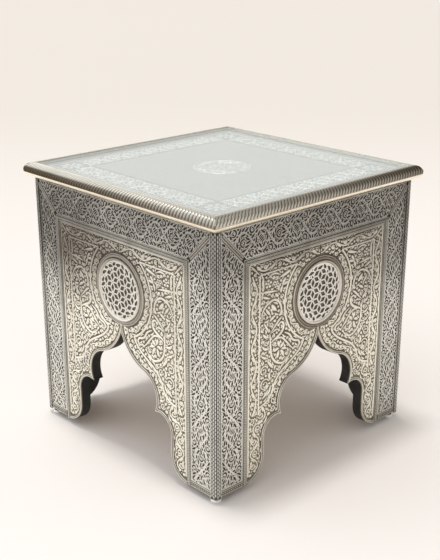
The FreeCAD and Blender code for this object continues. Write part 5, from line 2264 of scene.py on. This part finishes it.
@dataclass
class Top:
    """The embossed sheet under the glass, with a border and a rosette, and the glass."""

    height: float = 0.9
    sheet: float = 1.0
    border: tuple[float, float] = (160.0, 215.0)
    corner_gap: float = 24.0
    corner_flower: float = 21.0
    rosette: float = 50.0
    flower_pitch: float = 44.0
    field_rise: float = 0.12
    field_tone: float = 0.25
    relief: Relief = field(default_factory=Relief)

    def build(self) -> None:
        """Lay the sheet and raise its border and rosette."""
        low, high = node_box("top_sheet")
        bottom = low[2]
        level = bottom + self.sheet

        def lay(flat: Array, height: Array) -> Array:
            """Place points on the sheet, with heights above it."""
            return np.column_stack([flat, level + height])

        faces = [(0, 1, 2, 3), (7, 6, 5, 4), (0, 4, 5, 1), (1, 5, 6, 2), (2, 6, 7, 3), (3, 7, 4, 0)]
        for reach, rise, crest in ((high[0], 0.0, 0.0), (self.border[0], self.field_rise, self.field_tone)):
            edge = np.array([(-reach, -reach), (reach, -reach), (reach, reach), (-reach, reach)])
            corners = np.vstack([lay(edge, np.full(4, height)) for height in (rise, bottom - level)])
            self.relief.add(corners, faces, crest)
        design, side = Tracery(self.height), self.border_side()
        for quarter in range(4):
            cosine, sine = direction(math.pi / 2 * quarter)
            spin = np.array([[cosine, sine], [-sine, cosine]])
            design.place(side, lambda points: points @ spin)
        design.place(self.rosette_design())
        self.relief.tracery(design, lay)

    def border_side(self) -> Tracery:
        """Draw the border of one side, with the flower in its corner.

        Returns:
            Tracery of the front's border.
        """
        inner, outer = self.border
        middle = (inner + outer) / 2
        end = middle - self.corner_gap
        vine = RunningVine(self.flower_pitch / 2, (outer - inner) / 2 - 4, self.height, 4.6)
        design = vine.along(straight((-end, -middle), (end, -middle), 60))
        design.line(straight((-outer, -outer), (outer, -outer), 40), 1.8)
        design.blossom((middle, -middle), self.corner_flower, 8)
        return design

    def rosette_design(self) -> Tracery:
        """Draw the rosette in the middle.

        Returns:
            Tracery of two rings with a vine between them, round a flower.
        """
        design = Tracery(self.height)
        for share, width in ((1.0, 4.0), (0.62, 3.0)):
            design.line(arc((0, 0), self.rosette * share, 0, 360), width)
        design.blossom((0, 0), self.rosette * 0.55, 12)
        middle = self.rosette * 0.81
        vine = RunningVine(middle * math.pi / 7, self.rosette * 0.16, self.height, 3.0)
        design.place(vine.along(arc((0, 0), middle, 0, 360)))
        return design

    def dress(self) -> None:
        """Make the sheet and dress the glass and the board."""
        make_piece(self.relief, "top_sheet_chased", TOP_METAL, "top_sheet")
        dress_node("glass_pane", GLASS)
        dress_node("top_board", BOARD_WOOD)


@dataclass
class Glides:
    """The domed metal feet under the corners; a dome's points are shares of its radius and height."""

    plan: SidePlan
    inset: float = 11.0
    dome: tuple[Point, ...] = (
        (0.3, 1.0), (0.72, 0.97), (0.88, 0.8), (0.97, 0.55), (1.0, 0.34), (0.95, 0.1), (0.86, 0.0))
    corners: int = 32
    relief: Relief = field(default_factory=Relief)

    def build(self) -> None:
        """Turn a dome under each corner, as tall as the gap below the washers."""
        middle = self.plan.face - self.inset
        radius = node_box("glide_feet")[1][0] - middle
        rows = np.array(self.dome) * (radius, node_box("glide_pads")[0][2])
        angles = np.linspace(0, 2 * np.pi, self.corners, endpoint=False)
        level = np.repeat(rows[:, 1:], self.corners, axis=1)
        for across, along in ((middle, -middle), (middle, middle), (-middle, middle), (-middle, -middle)):
            ring = [across + rows[:, :1] * np.cos(angles), along + rows[:, :1] * np.sin(angles), level]
            self.relief.grid(np.stack(ring, -1), np.ones(level.shape))

    def dress(self) -> None:
        """Make the piece."""
        make_piece(self.relief, "glide_domes", GLIDE_METAL, "glide_feet")


@dataclass
class Carcass:
    """The plain parts that keep their CAD shape: wood, strips, shoes, pins, screws and washers."""

    plan: SidePlan

    def dress(self) -> None:
        """Give each its material; the wood is painted where the arches show it and bare above."""
        inside = -node_box("side_board_front")[1][1] * MM
        above = self.plan.arch.cusp[1] * MM
        painted = replace(BLACK_WOOD, name="side_board_wood", inside=inside, above=above)
        for node, spots in (("side_board", Side), ("corner_post", Corner)):
            for spot in spots:
                dress_node(f"{node}_{spot.word}", painted)
        for name, finish in (("mitre_strips", STRIP), ("leg_shoes", STRIP), ("glide_pads", RUBBER),
                             ("top_cleats", BOARD_WOOD), ("cleat_screws", SCREW), ("dowels", BARE_WOOD),
                             ("sheet_pins", STRIP)):
            dress_node(name, finish)


@dataclass(frozen=True)
class Camera:
    """The photograph's view, in degrees and metres, for a frame of 440 by 560 pixels.

    The focal length and the point of the frame that the camera points at are in pixels.
    """

    azimuth: float = 46.76
    elevation: float = 20.64
    distance: float = 1.9322
    aim: float = 0.2311
    focal: float = 1045.5
    middle: Point = (222.2, 300.7)
    frame_size: tuple[int, int] = (440, 560)
    sensor: float = 36.0

    def build(self) -> None:
        """Place the camera and make it the scene's."""
        data = bpy.data.cameras.new("camera")
        long_side = max(self.frame_size)
        data.sensor_width = self.sensor
        data.lens = self.focal * self.sensor / long_side
        data.shift_x = -(self.middle[0] - self.frame_size[0] / 2) / long_side
        data.shift_y = (self.middle[1] - self.frame_size[1] / 2) / long_side
        eye = bpy.data.objects.new("camera", data)
        cosine, sine = direction(math.radians(self.azimuth))
        level, rise = direction(math.radians(self.elevation))
        back = Vector((sine * level, -cosine * level, rise))
        eye.location = Vector((0, 0, self.aim)) + back * self.distance
        eye.rotation_euler = back.to_track_quat("Z", "Y").to_euler()
        bpy.context.scene.collection.objects.link(eye)
        bpy.context.scene.camera = eye


@dataclass(frozen=True)
class Studio:
    """A pale floor, a soft overhead light and a surround that is brighter in front to the left.

    The surround is as bright as the dome overhead, gains the skirt towards the horizon and the glow in front.
    """

    floor_radius: float = 14.0
    floor_corners: int = 64
    sun: float = 1.1
    sun_colour: Colour = (255, 253, 250)
    sun_way: tuple[float, float, float] = (-0.10, -0.02, 1.0)
    sun_spread: float = 10.0
    dome: float = 0.53
    skirt: float = 0.6
    glow: float = 0.68
    glow_way: tuple[float, float, float] = (-0.66, -0.66, 0.36)
    tints: tuple[Colour, Colour] = ((255, 251, 245), (253, 254, 255))

    def build(self) -> None:
        """Build the floor, the overhead light and the surround."""
        self.floor()
        self.lamp()
        self.surround()
        bpy.context.scene.view_settings.view_transform = "Standard"

    def floor(self) -> None:
        """Lay a wide floor that keeps the shadow."""
        angles = np.linspace(0, 2 * np.pi, self.floor_corners, endpoint=False)
        ring = [(self.floor_radius * math.cos(a), self.floor_radius * math.sin(a), 0.0) for a in angles]
        mesh = bpy.data.meshes.new("studio_floor")
        mesh.from_pydata(ring, [], [tuple(range(self.floor_corners))])
        mesh.materials.append(PaleFloor("pale_floor").material())
        piece = bpy.data.objects.new("studio_floor", mesh)
        bpy.context.scene.collection.objects.link(piece)
        piece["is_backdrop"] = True

    def lamp(self) -> None:
        """Hang the soft overhead light."""
        data = bpy.data.lights.new("overhead", "SUN")
        data.energy = self.sun
        data.angle = math.radians(self.sun_spread)
        data.color = paint(self.sun_colour)[:3]
        lamp = bpy.data.objects.new("overhead", data)
        lamp.rotation_euler = Vector(self.sun_way).to_track_quat("Z", "Y").to_euler()
        bpy.context.scene.collection.objects.link(lamp)

    def surround(self) -> None:
        """Light the room with a dome that is brighter near the horizon and in front to the left."""
        world = bpy.data.worlds.new("studio")
        world.use_nodes = True
        bpy.context.scene.world = world
        nodes = Nodes(world.node_tree)
        back = world.node_tree.nodes["Background"].inputs
        way = nodes.add("ShaderNodeTexCoord").outputs["Generated"]
        toward = nodes.add("ShaderNodeVectorMath", {0: way, 1: self.glow_way}, operation="DOT_PRODUCT")
        bright = nodes.ramp(toward.outputs["Value"], 0.1, 0.95)
        low = nodes.ramp(nodes.axes(way)["Z"], 0.45, 0.04)
        level = nodes.math("MULTIPLY_ADD", low, self.skirt, self.dome)
        nodes.put(back["Strength"], nodes.math("MULTIPLY_ADD", bright, self.glow, level))
        nodes.put(back["Color"], nodes.blend(bright, *self.tints))


def main() -> None:
    """Build every sub-assembly in order, then the studio, and work out both boxes."""
    logging.basicConfig(level=logging.INFO, format="%(name)s %(message)s")
    plan = read_plan()
    for part in (FrameStrips(plan), StripLines(plan), PanelRelief(plan), Medallion(plan), ArchTrim(plan),
                 PanelBead(plan), Rim(), CornerBead(plan), Top(), Glides(plan)):
        part.build()
        part.dress()
        LOG.info("%s is done", type(part).__name__)
    Carcass(plan).dress()
    Camera().build()
    Studio().build()
    boxes = {"cad": CAD_BOX, "visual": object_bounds()}
    {name: [list(map(float, corner)) for corner in box] for name, box in boxes.items()}


if __name__ == "__main__":
    main()
